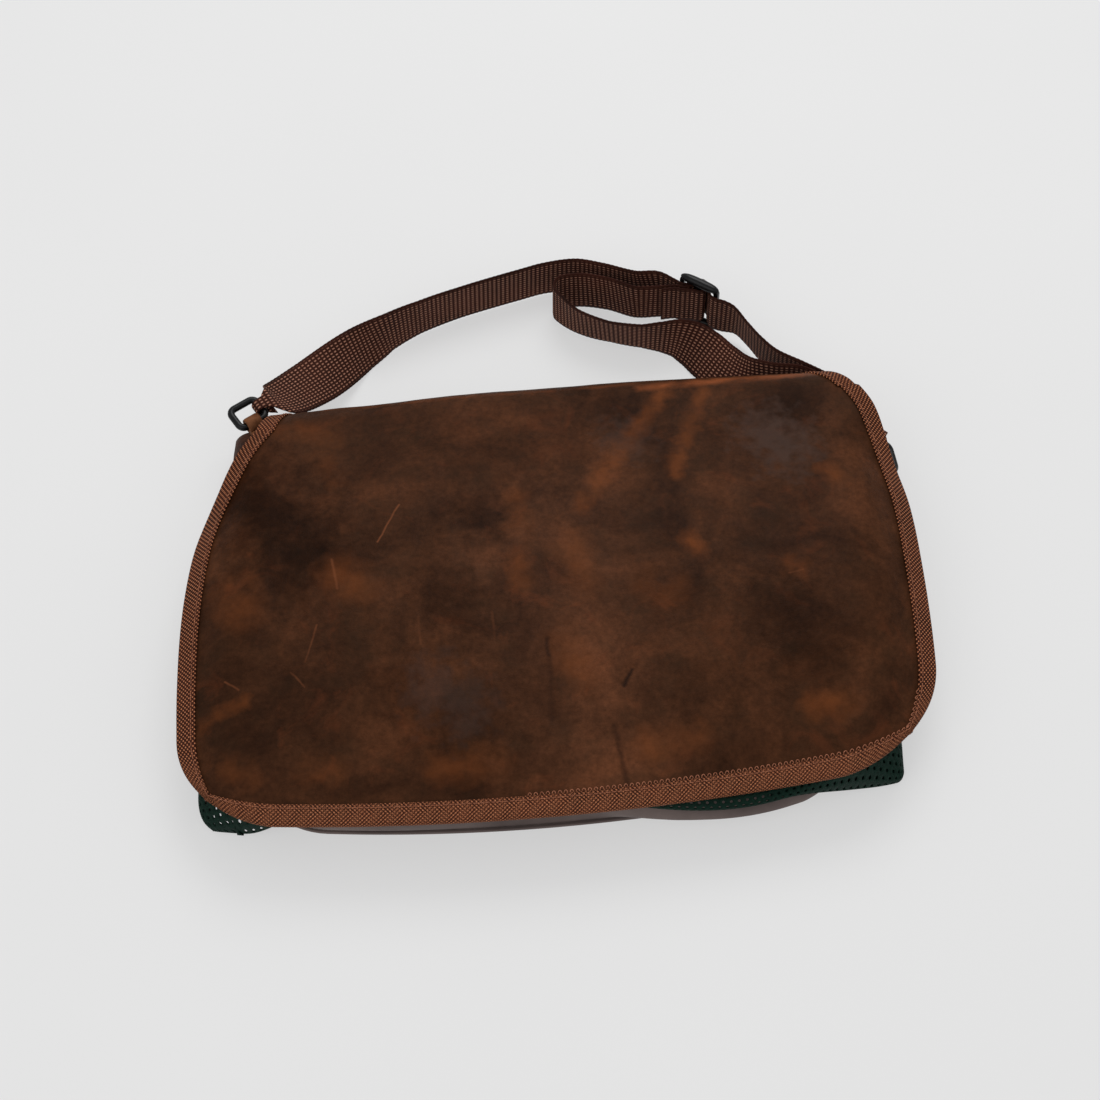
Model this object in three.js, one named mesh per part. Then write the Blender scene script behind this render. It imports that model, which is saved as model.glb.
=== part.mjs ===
// A leather game bag lying on its back, in millimetres.
// X runs across the bag, Y from its bottom edge to its top, Z up from the floor it lies on.
import * as THREE from 'three';
import { mergeVertices } from 'three/addons/utils/BufferGeometryUtils.js';

// Thickness of each material, and the clearance between neighbouring pieces
const HIDE = 2.2;
const NET = 1.0;
const TAPE = 0.8;
const WEB = 1.5;
const WEB_WIDTH = 30;
const WIRE = 4.2;
const CLEAR = 0.3;

// The whole bag lies a little skewed: each line across it is shifted by SKEW times its distance from SKEW_Y
const SKEW = 0.062;
const SKEW_Y = -11;

// Pouch: its seam line on the back panel, and its mouth, which rises to an ear at each side
const POUCH_BOTTOM = -138;
const POUCH_CORNER = 45;
const POUCH_BOW = 15;
const MOUTH_Y = 94;
const EARS = { left: 119, right: 108 };
const EAR_START = 128;
const EAR_DROP = 6;
const SEAM_MARGIN = 1.5;
const BACK_TOP = 106;

// Net pocket
const NET_TOP = 45;
const NET_BOTTOM = -143;
const NET_RIM_MIDDLE = 29.5;
const NET_RIM_TIP = 3;
const NET_RIM_SIDE = 16;
const NET_LIFT = 3.4;
const NET_BELLY = 3.6;

// Flap: the sewn root on the back panel, the round fold over the top, and the run down the front
const ROOT_Y = 74;
const FOLD_Y = 99.5;
const FOLD_RADIUS = 21.75;
const FOLD_STEPS = 9;
const FOLD_BULGE = 5.5;
const ROOT_HALF = 153;
const NECK_HALF = 156;
const FLAP_END = -150;
const FLAP_BOW = 16;
const FLAP_CORNERS = { left: 52, right: 60 };
const FLAP_CROWN = 3;
const FLAP_SHOULDER = 156;
const FLAP_SAG = 15;
const BINDING_WIDTH = 10;
const BINDING_START = 3;
const BINDING_GAP = 0.45;

// Rings and the leather tabs that hold them
const RING_HALF = 8.5;
const RING_CORNER = 3.6;
const TAB_TAIL = 18;
const TAB_WIDTH = 9;

// Strap slider
const SLIDER_AT = [107, 190.4, 20.8];
const SLIDER_HEADING = THREE.MathUtils.degToRad(-37);
const SLIDER_TILT = THREE.MathUtils.degToRad(92);
const SLIDER_LENGTH = 41;
const SLIDER_WIDTH = 26;
const SLIDER_BAR = 3;
const STRAP_STEP = 5;

// Height of the front of the pouch above the floor, along the middle of the bag
const BELLY = [
  { y: 118, rise: 33 },
  { y: 96, rise: 38 },
  { y: 40, rise: 45 },
  { y: 0, rise: 47 },
  { y: -70, rise: 43 },
  { y: -124, rise: 34 },
  { y: -150, rise: 30 },
];

// Reach of the pouch's seam line to either side
const POUCH_SIDE = [
  { y: -150, left: 170.5, right: 170.5 },
  { y: 10, left: 171, right: 171 },
  { y: 65, left: 175.5, right: 175.5 },
  { y: 88, left: 177, right: 174 },
  { y: 104, left: 179.5, right: 163 },
  { y: 120, left: 179, right: 161 },
];

// Two swellings of the pouch's bottom wall, and the dent between them
const BOTTOM_WAVES = [
  { x: -95, width: 45, swell: 1 },
  { x: -9, width: 36, swell: -9 },
  { x: 97, width: 62, swell: 13.5 },
];

// Free lower corners of the net: how far each flares past the pouch, how far its rim tucks back,
// where along the bottom its rim starts to drop, how round it is cut, and how far its tip hangs down
const NET_TIPS = [
  { side: -1, flare: 20, tuck: 8, dropFrom: 132, radius: 12, hang: 0 },
  { side: 1, flare: 7, tuck: 0, dropFrom: 112, radius: 4, hang: 4 },
];

// Reach of the flap's run to either side, and height of its outer face along the middle
const FLAP_RUN = [
  { y: 99.5, left: 167, right: 178.5, rise: 46 },
  { y: 86, left: 176, right: 185.5, rise: 47.6 },
  { y: 67, left: 185, right: 190.5, rise: 51 },
  { y: 43, left: 194.5, right: 195.5, rise: 54.5 },
  { y: 18, left: 199.5, right: 199, rise: 57 },
  { y: -20, left: 202.5, right: 200.5, rise: 58 },
  { y: -65, left: 203, right: 201.2, rise: 54.5 },
  { y: -105, left: 202, right: 200.8, rise: 48 },
  { y: -150, left: 201, right: 200.5, rise: 38 },
];

// Section through the wall of the pouch, from the seam on the back panel up to the front:
// inset from the seam line, and height as a share of the full height there
const POUCH_WALL = [
  { inset: 0, height: 0 },
  { inset: -3, height: 0.28 },
  { inset: -3, height: 0.6 },
  { inset: 2.5, height: 0.9 },
  { inset: 14, height: 1 },
];

// The same for the net, from its lower rim
const NET_WALL = [
  { inset: 0, height: 0 },
  { inset: 0.2, height: 0.45 },
  { inset: 3, height: 0.82 },
  { inset: 9, height: 0.95 },
  { inset: 18, height: 1 },
];

// Each ring: the middle of its bar, its length, its directions away from and along the bar, the direction of
// its tab's tail, which face of the tail is sewn down, the tab's shift along the bar, and the
// strap's upper side
const RINGS = {
  left: {
    at: [-161.1, 117.4, 33.05],
    length: 14,
    reach: [-0.51, 0.86, 0.12],
    bar: [0.86, 0.51, 0],
    tail: [0.51, -0.86, 0],
    seat: -1,
    tabShift: -0.8,
    strapSide: 1,
  },
  right: {
    at: [189.4, 66.5, 26],
    length: 18.5,
    reach: [0.77, 0.12, -0.61],
    bar: [0.04, 1, 0],
    tail: [0, 0, -1],
    seat: -1,
    tabShift: 0,
    strapSide: -1,
  },
};

// Turn of the strap round a ring: distance from the wire, rise to either side, and gathered width
const RING_TURN = [
  { away: 7, rise: -2.8, width: 15 },
  { away: 3, rise: -3.4, width: 8 },
  { away: -1.9, rise: -3.2, width: 6.6 },
  { away: -3.6, rise: 0, width: 6.6 },
  { away: -1.9, rise: 3.2, width: 6.6 },
  { away: 3, rise: 3.4, width: 8 },
  { away: 7, rise: 2.8, width: 15 },
];

// Route of the strap's middle line over the floor; tilt is the lean of its width, 0 flat and 90 on edge
const STRAP_OUT = [
  { x: -146, y: 134.5, z: 30.5, tilt: 0 },
  { x: -127, y: 153, z: 20, tilt: 20 },
  { x: -96, y: 181, z: 14.2, tilt: 62 },
  { x: -81, y: 189.5, z: 15.8, tilt: 80 },
  { x: -62, y: 198.8, z: 16, tilt: 89 },
  { x: -37, y: 207.8, z: 16, tilt: 92 },
  { x: 1, y: 218.2, z: 16, tilt: 92 },
  { x: 17, y: 222, z: 16, tilt: 92 },
  { x: 36, y: 222.6, z: 16, tilt: 90 },
  { x: 52, y: 217.2, z: 16.4, tilt: 90 },
  { x: 71, y: 208.2, z: 17.8, tilt: 91 },
];
const STRAP_TO_RING = [
  { x: 126.5, y: 174.2, z: 20.5, tilt: 98 },
  { x: 133, y: 164.5, z: 19, tilt: 100 },
  { x: 139.5, y: 153.5, z: 17.6, tilt: 99 },
  { x: 147.5, y: 143.5, z: 16.2, tilt: 98 },
  { x: 162, y: 132.5, z: 16, tilt: 97 },
  { x: 174.8, y: 121.8, z: 16, tilt: 95 },
  { x: 184.5, y: 110.5, z: 16.5, tilt: 97 },
  { x: 193, y: 97.5, z: 18.5, tilt: 106 },
];
const STRAP_BACK = [
  { x: 186, y: 97.5, z: 17.5, tilt: 74 },
  { x: 180, y: 108, z: 16.5, tilt: 86 },
  { x: 172, y: 118.4, z: 16, tilt: 89 },
  { x: 160.5, y: 127.6, z: 16, tilt: 90 },
  { x: 142, y: 130, z: 15.5, tilt: 102 },
  { x: 126, y: 135.5, z: 13, tilt: 126 },
  { x: 116, y: 145.5, z: 11.5, tilt: 138 },
  { x: 107.5, y: 157, z: 11.5, tilt: 136 },
  { x: 100, y: 164.5, z: 13, tilt: 120 },
  { x: 92, y: 168.3, z: 14.8, tilt: 102 },
  { x: 82, y: 170, z: 15.5, tilt: 88 },
  { x: 70, y: 171.8, z: 15.5, tilt: 78 },
  { x: 52, y: 177, z: 15.5, tilt: 75 },
  { x: 34.6, y: 186, z: 15.6, tilt: 80 },
  { x: 25.5, y: 195, z: 16, tilt: 87 },
  { x: 20.5, y: 203.5, z: 16, tilt: 90 },
  { x: 23.5, y: 209.3, z: 16, tilt: 89 },
  { x: 36, y: 210.5, z: 16.2, tilt: 88 },
  { x: 53, y: 205, z: 17.6, tilt: 90 },
];

// The strap through the slider: place along it and rise out of its front.
// The running part passes over both outer bars and behind the middle one.
const SLIDER_PASS = [
  { along: -26, rise: 2.6 },
  { along: -16, rise: 2.7 },
  { along: -9.4, rise: 2.75 },
  { along: -7, rise: 0.9 },
  { along: -4.8, rise: -3.4 },
  { along: -2, rise: -5.3 },
  { along: 1.5, rise: -5.3 },
  { along: 4.4, rise: -3.7 },
  { along: 6.4, rise: -0.6 },
  { along: 9, rise: 2.3 },
  { along: 10.5, rise: 2.85 },
  { along: 13.5, rise: 2.9 },
  { along: 18, rise: 2 },
];

// The end wraps the middle bar and is sewn back over itself
const SLIDER_SEWN = [
  { along: -32, rise: 19 },
  { along: -22, rise: 12.6 },
  { along: -12, rise: 5.7 },
  { along: -8.2, rise: 4.7 },
  { along: -5.2, rise: 1.6 },
  { along: -2.6, rise: -2.6 },
  { along: 0, rise: -3.1 },
  { along: 1.9, rise: -2.7 },
  { along: 3, rise: -1.4 },
  { along: 3.25, rise: 0 },
  { along: 3, rise: 1.4 },
  { along: 1.7, rise: 2.9 },
  { along: -1.5, rise: 3.6 },
  { along: -5, rise: 5.2 },
  { along: -8.2, rise: 6.9 },
  { along: -12, rise: 8.1 },
  { along: -19, rise: 13.5 },
];

const COLOURS = {
  leather: 0x4a2f22,
  innerLeather: 0x5b4536,
  tape: 0x7a4a35,
  net: 0x1c3f33,
  webbing: 0x5d3a2c,
  metal: 0x17171a,
};

// Share of the way from one value to another, eased at both ends
const ease = (value, from, to) => THREE.MathUtils.smoothstep((value - from) / (to - from), 0, 1);

// Smooth curve through one column of a table, read at a given y
function along(table, column, y) {
  const rows = [...table].sort((a, b) => a.y - b.y);
  const last = rows.length - 1;
  if (y <= rows[0].y) return rows[0][column];
  if (y >= rows[last].y) return rows[last][column];
  const slopeAt = (k) => {
    const low = rows[Math.max(k - 1, 0)];
    const high = rows[Math.min(k + 1, last)];
    return (high[column] - low[column]) / (high.y - low.y);
  };
  const k = rows.findIndex((row) => row.y > y) - 1;
  const span = rows[k + 1].y - rows[k].y;
  const t = (y - rows[k].y) / span;
  const start = rows[k][column];
  const rest = rows[k + 1][column] - start;
  const leave = slopeAt(k) * span;
  const arrive = slopeAt(k + 1) * span;
  return start + t * (leave + t * (3 * rest - 2 * leave - arrive + t * (leave + arrive - 2 * rest)));
}

// Evenly spread values, both ends included
function spread(from, to, count) {
  return Array.from({ length: count }, (_, k) => from + ((to - from) * k) / (count - 1));
}

// Closed solid from triangles over a list of points, facing outwards
function closedSolid(points, faces) {
  const geometry = new THREE.BufferGeometry();
  geometry.setAttribute('position', new THREE.Float32BufferAttribute(points.flatMap((p) => p.toArray()), 3));
  geometry.setIndex(faces.flat());
  const merged = mergeVertices(geometry, 1e-4);
  const position = merged.getAttribute('position');
  const corner = (k) => new THREE.Vector3().fromBufferAttribute(position, k);
  const index = merged.getIndex().array;
  const kept = [];
  let volume = 0;
  for (let k = 0; k < index.length; k += 3) {
    const [a, b, c] = index.slice(k, k + 3);
    if (a === b || b === c || c === a) continue;
    kept.push([a, b, c]);
    volume += corner(a).dot(corner(b).cross(corner(c)));
  }
  merged.setIndex((volume < 0 ? kept.map(([a, b, c]) => [a, c, b]) : kept).flat());
  merged.computeVertexNormals();
  return merged;
}

// Direction square to a grid of points, at one of them
function gridNormal(grid, i, j) {
  const rows = grid.length - 1;
  const columns = grid[0].length - 1;
  const down = grid[Math.min(i + 1, rows)][j].clone().sub(grid[Math.max(i - 1, 0)][j]);
  const across = grid[i][Math.min(j + 1, columns)].clone().sub(grid[i][Math.max(j - 1, 0)]);
  return down.cross(across).normalize();
}

// Grid of points moved along its own normals
function offsetGrid(grid, distance) {
  return grid.map((row, i) => row.map((p, j) => p.clone().addScaledVector(gridNormal(grid, i, j), distance)));
}

// Closed sheet between two grids of the same size, each cell split along its shorter diagonal
function sheetBetween(front, behind) {
  const rows = front.length;
  const columns = front[0].length;
  const points = [...front.flat(), ...behind.flat()];
  const at = (side, i, j) => side * rows * columns + i * columns + j;
  const faces = [];
  const quad = (a, b, c, d) => {
    const isFirstShorter = points[a].distanceTo(points[c]) <= points[b].distanceTo(points[d]);
    faces.push(...(isFirstShorter ? [[a, b, c], [a, c, d]] : [[a, b, d], [b, c, d]]));
  };
  for (let i = 0; i < rows - 1; i += 1) {
    for (let j = 0; j < columns - 1; j += 1) {
      quad(at(0, i, j), at(0, i + 1, j), at(0, i + 1, j + 1), at(0, i, j + 1));
      quad(at(1, i, j), at(1, i, j + 1), at(1, i + 1, j + 1), at(1, i + 1, j));
    }
    quad(at(0, i, 0), at(1, i, 0), at(1, i + 1, 0), at(0, i + 1, 0));
    quad(at(0, i + 1, columns - 1), at(1, i + 1, columns - 1), at(1, i, columns - 1), at(0, i, columns - 1));
  }
  for (let j = 0; j < columns - 1; j += 1) {
    quad(at(0, 0, j + 1), at(1, 0, j + 1), at(1, 0, j), at(0, 0, j));
    quad(at(0, rows - 1, j), at(1, rows - 1, j), at(1, rows - 1, j + 1), at(0, rows - 1, j + 1));
  }
  return closedSolid(points, faces);
}

// Closed solid through a row of like sections; the ends are capped unless the row closes on itself.
// Cells of the second half of a section are split the other way, so both faces of a twisted strip match.
function loft(sections, isLoop) {
  const size = sections[0].length;
  const count = sections.length;
  const at = (i, k) => (i % count) * size + (k % size);
  const faces = [];
  const spans = isLoop ? count : count - 1;
  for (let i = 0; i < spans; i += 1) {
    for (let k = 0; k < size; k += 1) {
      const [a, b, c, d] = [at(i, k), at(i + 1, k), at(i + 1, k + 1), at(i, k + 1)];
      faces.push(...(k < size / 2 ? [[a, b, c], [a, c, d]] : [[a, b, d], [b, c, d]]));
    }
  }
  if (!isLoop) {
    for (let k = 1; k < size - 1; k += 1) {
      faces.push([at(0, 0), at(0, k), at(0, k + 1)]);
      faces.push([at(count - 1, 0), at(count - 1, k + 1), at(count - 1, k)]);
    }
  }
  return closedSolid(sections.flat(), faces);
}

// Rounds the lower corners of a rectangle: a point in the corner square is moved into the quarter circle
function roundCorner(x, y, half, bottom, radius) {
  const side = (Math.abs(x) - (half - radius)) / radius;
  const low = (bottom + radius - y) / radius;
  if (side <= 0 || low <= 0) return [x, y];
  const roundX = half - radius + radius * side * Math.sqrt(1 - (low * low) / 2);
  const roundY = bottom + radius - radius * low * Math.sqrt(1 - (side * side) / 2);
  return [Math.sign(x) * roundX, roundY];
}

// Shift of the lower edge where it bows: none at the middle, all of it at the sides, fading up the panel
const bowed = (x, y, half, bottom, bow) => bow * (x / half) ** 2 * ease(y, bottom + 170, bottom);

// Skews a geometry with the bag
function skewed(geometry) {
  geometry.applyMatrix4(new THREE.Matrix4().makeShear(0, 0, SKEW, 0, 0, 0));
  geometry.translate(-SKEW * SKEW_Y, 0, 0);
  return geometry;
}

const crown = (x) => FLAP_CROWN * (x / 150) ** 2;

// Reach of the pouch's seam line to the side that a point lies on
const pouchReach = (x, y) => along(POUCH_SIDE, x < 0 ? 'left' : 'right', y);

// Back panel: a flat plate that reaches a margin past the seam line of the pouch
function backPanel() {
  const straightEnd = POUCH_BOTTOM + POUCH_CORNER;
  const radius = POUCH_CORNER + SEAM_MARGIN;
  const edge = (sign) => {
    const reach = pouchReach(sign, straightEnd);
    const cornerX = reach - POUCH_CORNER;
    const side = spread(BACK_TOP, straightEnd, 14).map((y) => [pouchReach(sign, y) + SEAM_MARGIN, y]);
    const corner = spread(0, Math.PI / 2, 9).slice(1).map((angle) =>
      [cornerX + radius * Math.cos(angle), straightEnd - radius * Math.sin(angle)]);
    const bottom = spread(cornerX, 0, 6).slice(1).map((x) => [x, POUCH_BOTTOM - SEAM_MARGIN]);
    return [...side, ...corner, ...bottom].map(([x, y]) =>
      new THREE.Vector2(sign * x, y + bowed(x, y, reach, POUCH_BOTTOM, POUCH_BOW)));
  };
  const outline = new THREE.Shape([...edge(1), ...edge(-1).slice(0, -1).reverse()]);
  return skewed(new THREE.ExtrudeGeometry(outline, { depth: HIDE, bevelEnabled: false }));
}

// Outer face of the pouch's front, which drops towards the ears
function bellyHeight(x, y) {
  const ear = ease(y, MOUTH_Y - 18, MOUTH_Y + 4) * ease(Math.abs(x), EAR_START, EAR_START + 24);
  return along(BELLY, 'rise', y) - crown(x) - EAR_DROP * ear;
}

// Swelling of the pouch's bottom wall at its fullest
function bottomSwell(x) {
  const share = (wave) => Math.exp(-(((x - wave.x) / wave.width) ** 2));
  return BOTTOM_WAVES.reduce((sum, wave) => sum + wave.swell * share(wave), 0);
}

// Lines of a pocket's grid: its wall section at each side, and even lines between
function wallLines(wall, evenCount) {
  const even = spread(0, 1, evenCount + 2).slice(1, -1);
  return [
    ...wall.map((step) => ({ ...step, side: -1 })),
    ...even.map((share) => ({ height: 1, side: 0, share })),
    ...[...wall].reverse().map((step) => ({ ...step, side: 1 })),
  ];
}

// Place of one of those lines across a pocket that reaches from -left to right
function lineAcross(line, left, right, wall) {
  const flat = wall[wall.length - 1].inset;
  if (line.side < 0) return line.inset - left;
  if (line.side > 0) return right - line.inset;
  return THREE.MathUtils.lerp(flat - left, right - flat, line.share);
}

// Rows of a pocket's grid: even rows down its front, then its bottom wall
function wallRows(wall, evenCount) {
  const even = spread(0, 1, evenCount + 1).slice(0, -1);
  return [
    ...even.map((share) => ({ height: 1, isFront: true, share })),
    ...[...wall].reverse().map((step) => ({ ...step, isFront: false })),
  ];
}

// A step of one wall, kept from swelling where the other wall ends it lower down
const settled = (step, other) =>
  (step.height > other.height ? { ...step, inset: Math.max(step.inset, 1.2 * step.height) } : step);

// Place of one of those rows between the top edge and the bottom of a pocket
function rowDown(row, top, bottom, wall) {
  const flatEnd = bottom + wall[wall.length - 1].inset;
  return row.isFront ? THREE.MathUtils.lerp(top, flatEnd, row.share) : bottom + row.inset;
}

// Pouch: front wall, side walls and bottom wall in one sheet, open at the mouth and towards the back panel
function pouch() {
  const rim = HIDE + CLEAR;
  const across = (line, y) => lineAcross(line, pouchReach(-1, y), pouchReach(1, y), POUCH_WALL);
  const outside = wallRows(POUCH_WALL, 12).map((wallRow) => wallLines(POUCH_WALL, 17).map((wallLine) => {
    const row = settled(wallRow, wallLine);
    const line = settled(wallLine, wallRow);
    const height = Math.min(line.height, row.height);
    const mouthX = across(line, MOUTH_Y);
    const earY = mouthX < 0 ? EARS.left : EARS.right;
    const mouth = THREE.MathUtils.lerp(MOUTH_Y, earY, ease(Math.abs(mouthX), EAR_START, EAR_START + 25));
    const y = rowDown(row, mouth, POUCH_BOTTOM, POUCH_WALL);
    const x = across(line, y);
    const reach = pouchReach(x, y);
    const swell = row.isFront ? 0 : bottomSwell(x) * Math.sin(Math.PI * height);
    const [roundX, roundY] = roundCorner(x, y, reach, POUCH_BOTTOM, POUCH_CORNER);
    const bow = bowed(roundX, roundY, reach, POUCH_BOTTOM, POUCH_BOW);
    const top = bellyHeight(roundX, roundY);
    return new THREE.Vector3(roundX, roundY + bow - swell, rim + (top - rim) * height);
  }));
  const inside = offsetGrid(outside, -HIDE).map((row) => row.map((p) => p.setZ(Math.max(p.z, rim))));
  return skewed(sheetBetween(outside, inside));
}

// Net pocket: a sheet over the front of the pouch whose lower corners hang free
function gameNet() {
  const wallSwell = Math.max(...POUCH_WALL.map((step) => -step.inset));
  const standOff = wallSwell + 2 * CLEAR + NET;
  const outside = wallRows(NET_WALL, 11).map((wallRow) => wallLines(NET_WALL, 15).map((wallLine) => {
    const row = settled(wallRow, wallLine);
    const line = settled(wallLine, wallRow);
    const height = Math.min(line.height, row.height);
    const y = rowDown(row, NET_TOP, NET_BOTTOM, NET_WALL);
    const near = ease(y, -50, NET_BOTTOM + 10);
    const sideSign = line.side || Math.sign(line.share - 0.5);
    const tip = NET_TIPS.find((corner) => corner.side === sideSign) || NET_TIPS[0];
    const half = pouchReach(sideSign, y) + standOff + tip.flare * near;
    const tuck = tip.tuck * near * (1 - height) ** 2;
    const spreadX = lineAcross(line, half, half, NET_WALL);
    const x = line.side === 0 ? spreadX : spreadX - line.side * tuck;
    const [roundX, roundY] = roundCorner(x, y, half, NET_BOTTOM, tip.radius);
    const swell = row.isFront ? 0 : Math.max(0, bottomSwell(x));
    const bow = bowed(roundX, roundY, pouchReach(sideSign, y), NET_BOTTOM, POUCH_BOW) - swell;
    const tipShare = Math.exp(-((Math.hypot(Math.abs(roundX) - half, roundY - NET_BOTTOM) / 17) ** 2));
    const middle = (1 - ease(Math.abs(roundX), 60, 168)) * ease(roundY, NET_BOTTOM + 15, NET_BOTTOM + 75);
    const top = (bellyHeight(roundX, roundY) + NET_LIFT + NET_BELLY * middle) * (1 - 0.64 * tipShare);
    const drop = ease(Math.abs(roundX), tip.dropFrom, 170);
    const climb = ease(roundY, NET_BOTTOM + 12, NET_BOTTOM + 60);
    const lowRim = THREE.MathUtils.lerp(NET_RIM_MIDDLE, NET_RIM_TIP, drop);
    const sideRim = THREE.MathUtils.lerp(NET_RIM_TIP, NET_RIM_SIDE, climb);
    const rim = row.isFront ? sideRim : lowRim;
    const hang = tip.hang * tipShare;
    return new THREE.Vector3(roundX, roundY + bow - hang, rim + (top - rim) * height);
  }));
  return skewed(sheetBetween(outside, offsetGrid(outside, -NET)));
}

// Reach of the flap's run to the side that a point of its plan lies on
const flapReach = (x, y) => along(FLAP_RUN, x < 0 ? 'left' : 'right', y);

// Outer face of the flap's run at a point of its plan
function flapHeight(x, y) {
  const loose = ease(y, FOLD_Y, 40);
  const over = Math.max(0, (Math.abs(x) - FLAP_SHOULDER) / (flapReach(x, y) - FLAP_SHOULDER));
  return along(FLAP_RUN, 'rise', y) - loose * (crown(x) + FLAP_SAG * over * over);
}

// Positions across the flap: its edges, the inner edges of the binding, and even steps between
function flapAcross(left, right) {
  return [-left, ...spread(BINDING_WIDTH - left, right - BINDING_WIDTH, 21), right];
}

// Grid over the outer face of the flap, from the sewn root round the fold to the lower edge
function flapGrid() {
  const seat = HIDE + CLEAR;
  const foldZ = seat + FOLD_RADIUS;
  const root = spread(ROOT_Y, FOLD_Y, 3).slice(0, -1).map((y) =>
    flapAcross(ROOT_HALF, ROOT_HALF).map((x) => new THREE.Vector3(x, y, seat)));
  const fold = spread(-90, 90, FOLD_STEPS).slice(0, -1).map((degrees) => {
    const angle = THREE.MathUtils.degToRad(degrees);
    const flare = ease(degrees, 0, 110);
    const reachAt = (side) => THREE.MathUtils.lerp(NECK_HALF, flapReach(side, FOLD_Y), flare);
    const z = foldZ + FOLD_RADIUS * Math.sin(angle);
    return flapAcross(reachAt(-1), reachAt(1)).map((x) => {
      const radius = FOLD_RADIUS + FOLD_BULGE * Math.max(0, 1 - (x / NECK_HALF) ** 2);
      return new THREE.Vector3(x, FOLD_Y + radius * Math.cos(angle), z);
    });
  });
  const run = [...spread(FOLD_Y, FLAP_END + BINDING_WIDTH, 17), FLAP_END].map((y) =>
    flapAcross(flapReach(-1, y), flapReach(1, y)).map((x) => {
      const reach = flapReach(x, y);
      const radius = x < 0 ? FLAP_CORNERS.left : FLAP_CORNERS.right;
      const [roundX, roundY] = roundCorner(x, y, reach, FLAP_END, radius);
      const bowY = roundY + bowed(roundX, roundY, reach, FLAP_END, FLAP_BOW);
      return new THREE.Vector3(roundX, bowY, flapHeight(roundX, bowY));
    }));
  return [...root, ...fold, ...run];
}

const flap = (outside) => skewed(sheetBetween(outside, offsetGrid(outside, -HIDE)));

// Binding: tape folded over the flap's edge, from the fold down one side, along the bottom and up the other
function flapBinding(outside) {
  const lastRow = outside.length - 1;
  const lastColumn = outside[0].length - 1;
  const down = spread(BINDING_START, lastRow, lastRow - BINDING_START + 1);
  const bottom = spread(1, lastColumn - 1, lastColumn - 1);
  const beside = (i, edge, inner) => ({ edge: [i, edge], inner: [Math.min(i, lastRow - 1), inner] });
  const path = [
    ...down.map((i) => beside(i, 0, 1)),
    ...bottom.map((j) => ({ edge: [lastRow, j], inner: [lastRow - 1, j] })),
    ...down.reverse().map((i) => beside(i, lastColumn, lastColumn - 1)),
  ];
  const section = ({ edge, inner }, clear) => {
    const edgePoint = outside[edge[0]][edge[1]];
    const innerPoint = outside[inner[0]][inner[1]];
    const edgeNormal = gridNormal(outside, ...edge);
    const innerNormal = gridNormal(outside, ...inner);
    const outward = edgePoint.clone().sub(innerPoint);
    outward.addScaledVector(edgeNormal, -outward.dot(edgeNormal)).normalize();
    const beyond = (rise, out) => edgePoint.clone()
      .addScaledVector(edgeNormal, rise)
      .addScaledVector(outward, out);
    const within = (rise) => innerPoint.clone().addScaledVector(innerNormal, rise);
    return [
      within(clear),
      beyond(clear, 0),
      beyond(-HIDE / 2, clear),
      beyond(-HIDE - clear, 0),
      within(-HIDE - clear),
    ];
  };
  const skin = path.map((step) => section(step, BINDING_GAP + TAPE));
  const lining = path.map((step) => section(step, BINDING_GAP));
  return skewed(sheetBetween(skin, lining));
}

const vector = (list) => new THREE.Vector3(...list);

// Axes of a ring: away from the bar its tab holds, along that bar, and square to both
function ringAxes(ring) {
  const reach = vector(ring.reach).normalize();
  const bar = vector(ring.bar);
  bar.addScaledVector(reach, -bar.dot(reach)).normalize();
  return { reach, bar, face: reach.clone().cross(bar) };
}

// Ring: round wire bent to a rectangle with rounded corners
function wireRing(ring) {
  const { reach, bar, face } = ringAxes(ring);
  const path = new THREE.Path();
  path.moveTo(0, 0);
  path.lineTo(0, RING_HALF - RING_CORNER);
  path.absarc(RING_CORNER, RING_HALF - RING_CORNER, RING_CORNER, Math.PI, Math.PI / 2, true);
  path.absarc(ring.length - RING_CORNER, RING_HALF - RING_CORNER, RING_CORNER, Math.PI / 2, 0, true);
  path.absarc(ring.length - RING_CORNER, RING_CORNER - RING_HALF, RING_CORNER, 0, -Math.PI / 2, true);
  path.absarc(RING_CORNER, RING_CORNER - RING_HALF, RING_CORNER, -Math.PI / 2, -Math.PI, true);
  path.lineTo(0, 0);
  const points = path.getSpacedPoints(40).slice(0, -1);
  const sections = points.map((point, k) => {
    const before = points[(k + points.length - 1) % points.length];
    const after = points[(k + 1) % points.length];
    const run = after.clone().sub(before).normalize();
    const aside = reach.clone().multiplyScalar(run.y).addScaledVector(bar, -run.x);
    const centre = vector(ring.at).addScaledVector(reach, point.x).addScaledVector(bar, point.y);
    return spread(0, 2 * Math.PI, 9).slice(0, -1).map((angle) => centre.clone()
      .addScaledVector(aside, (WIRE / 2) * Math.cos(angle))
      .addScaledVector(face, (WIRE / 2) * Math.sin(angle)));
  });
  return loft(sections, true);
}

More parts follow.
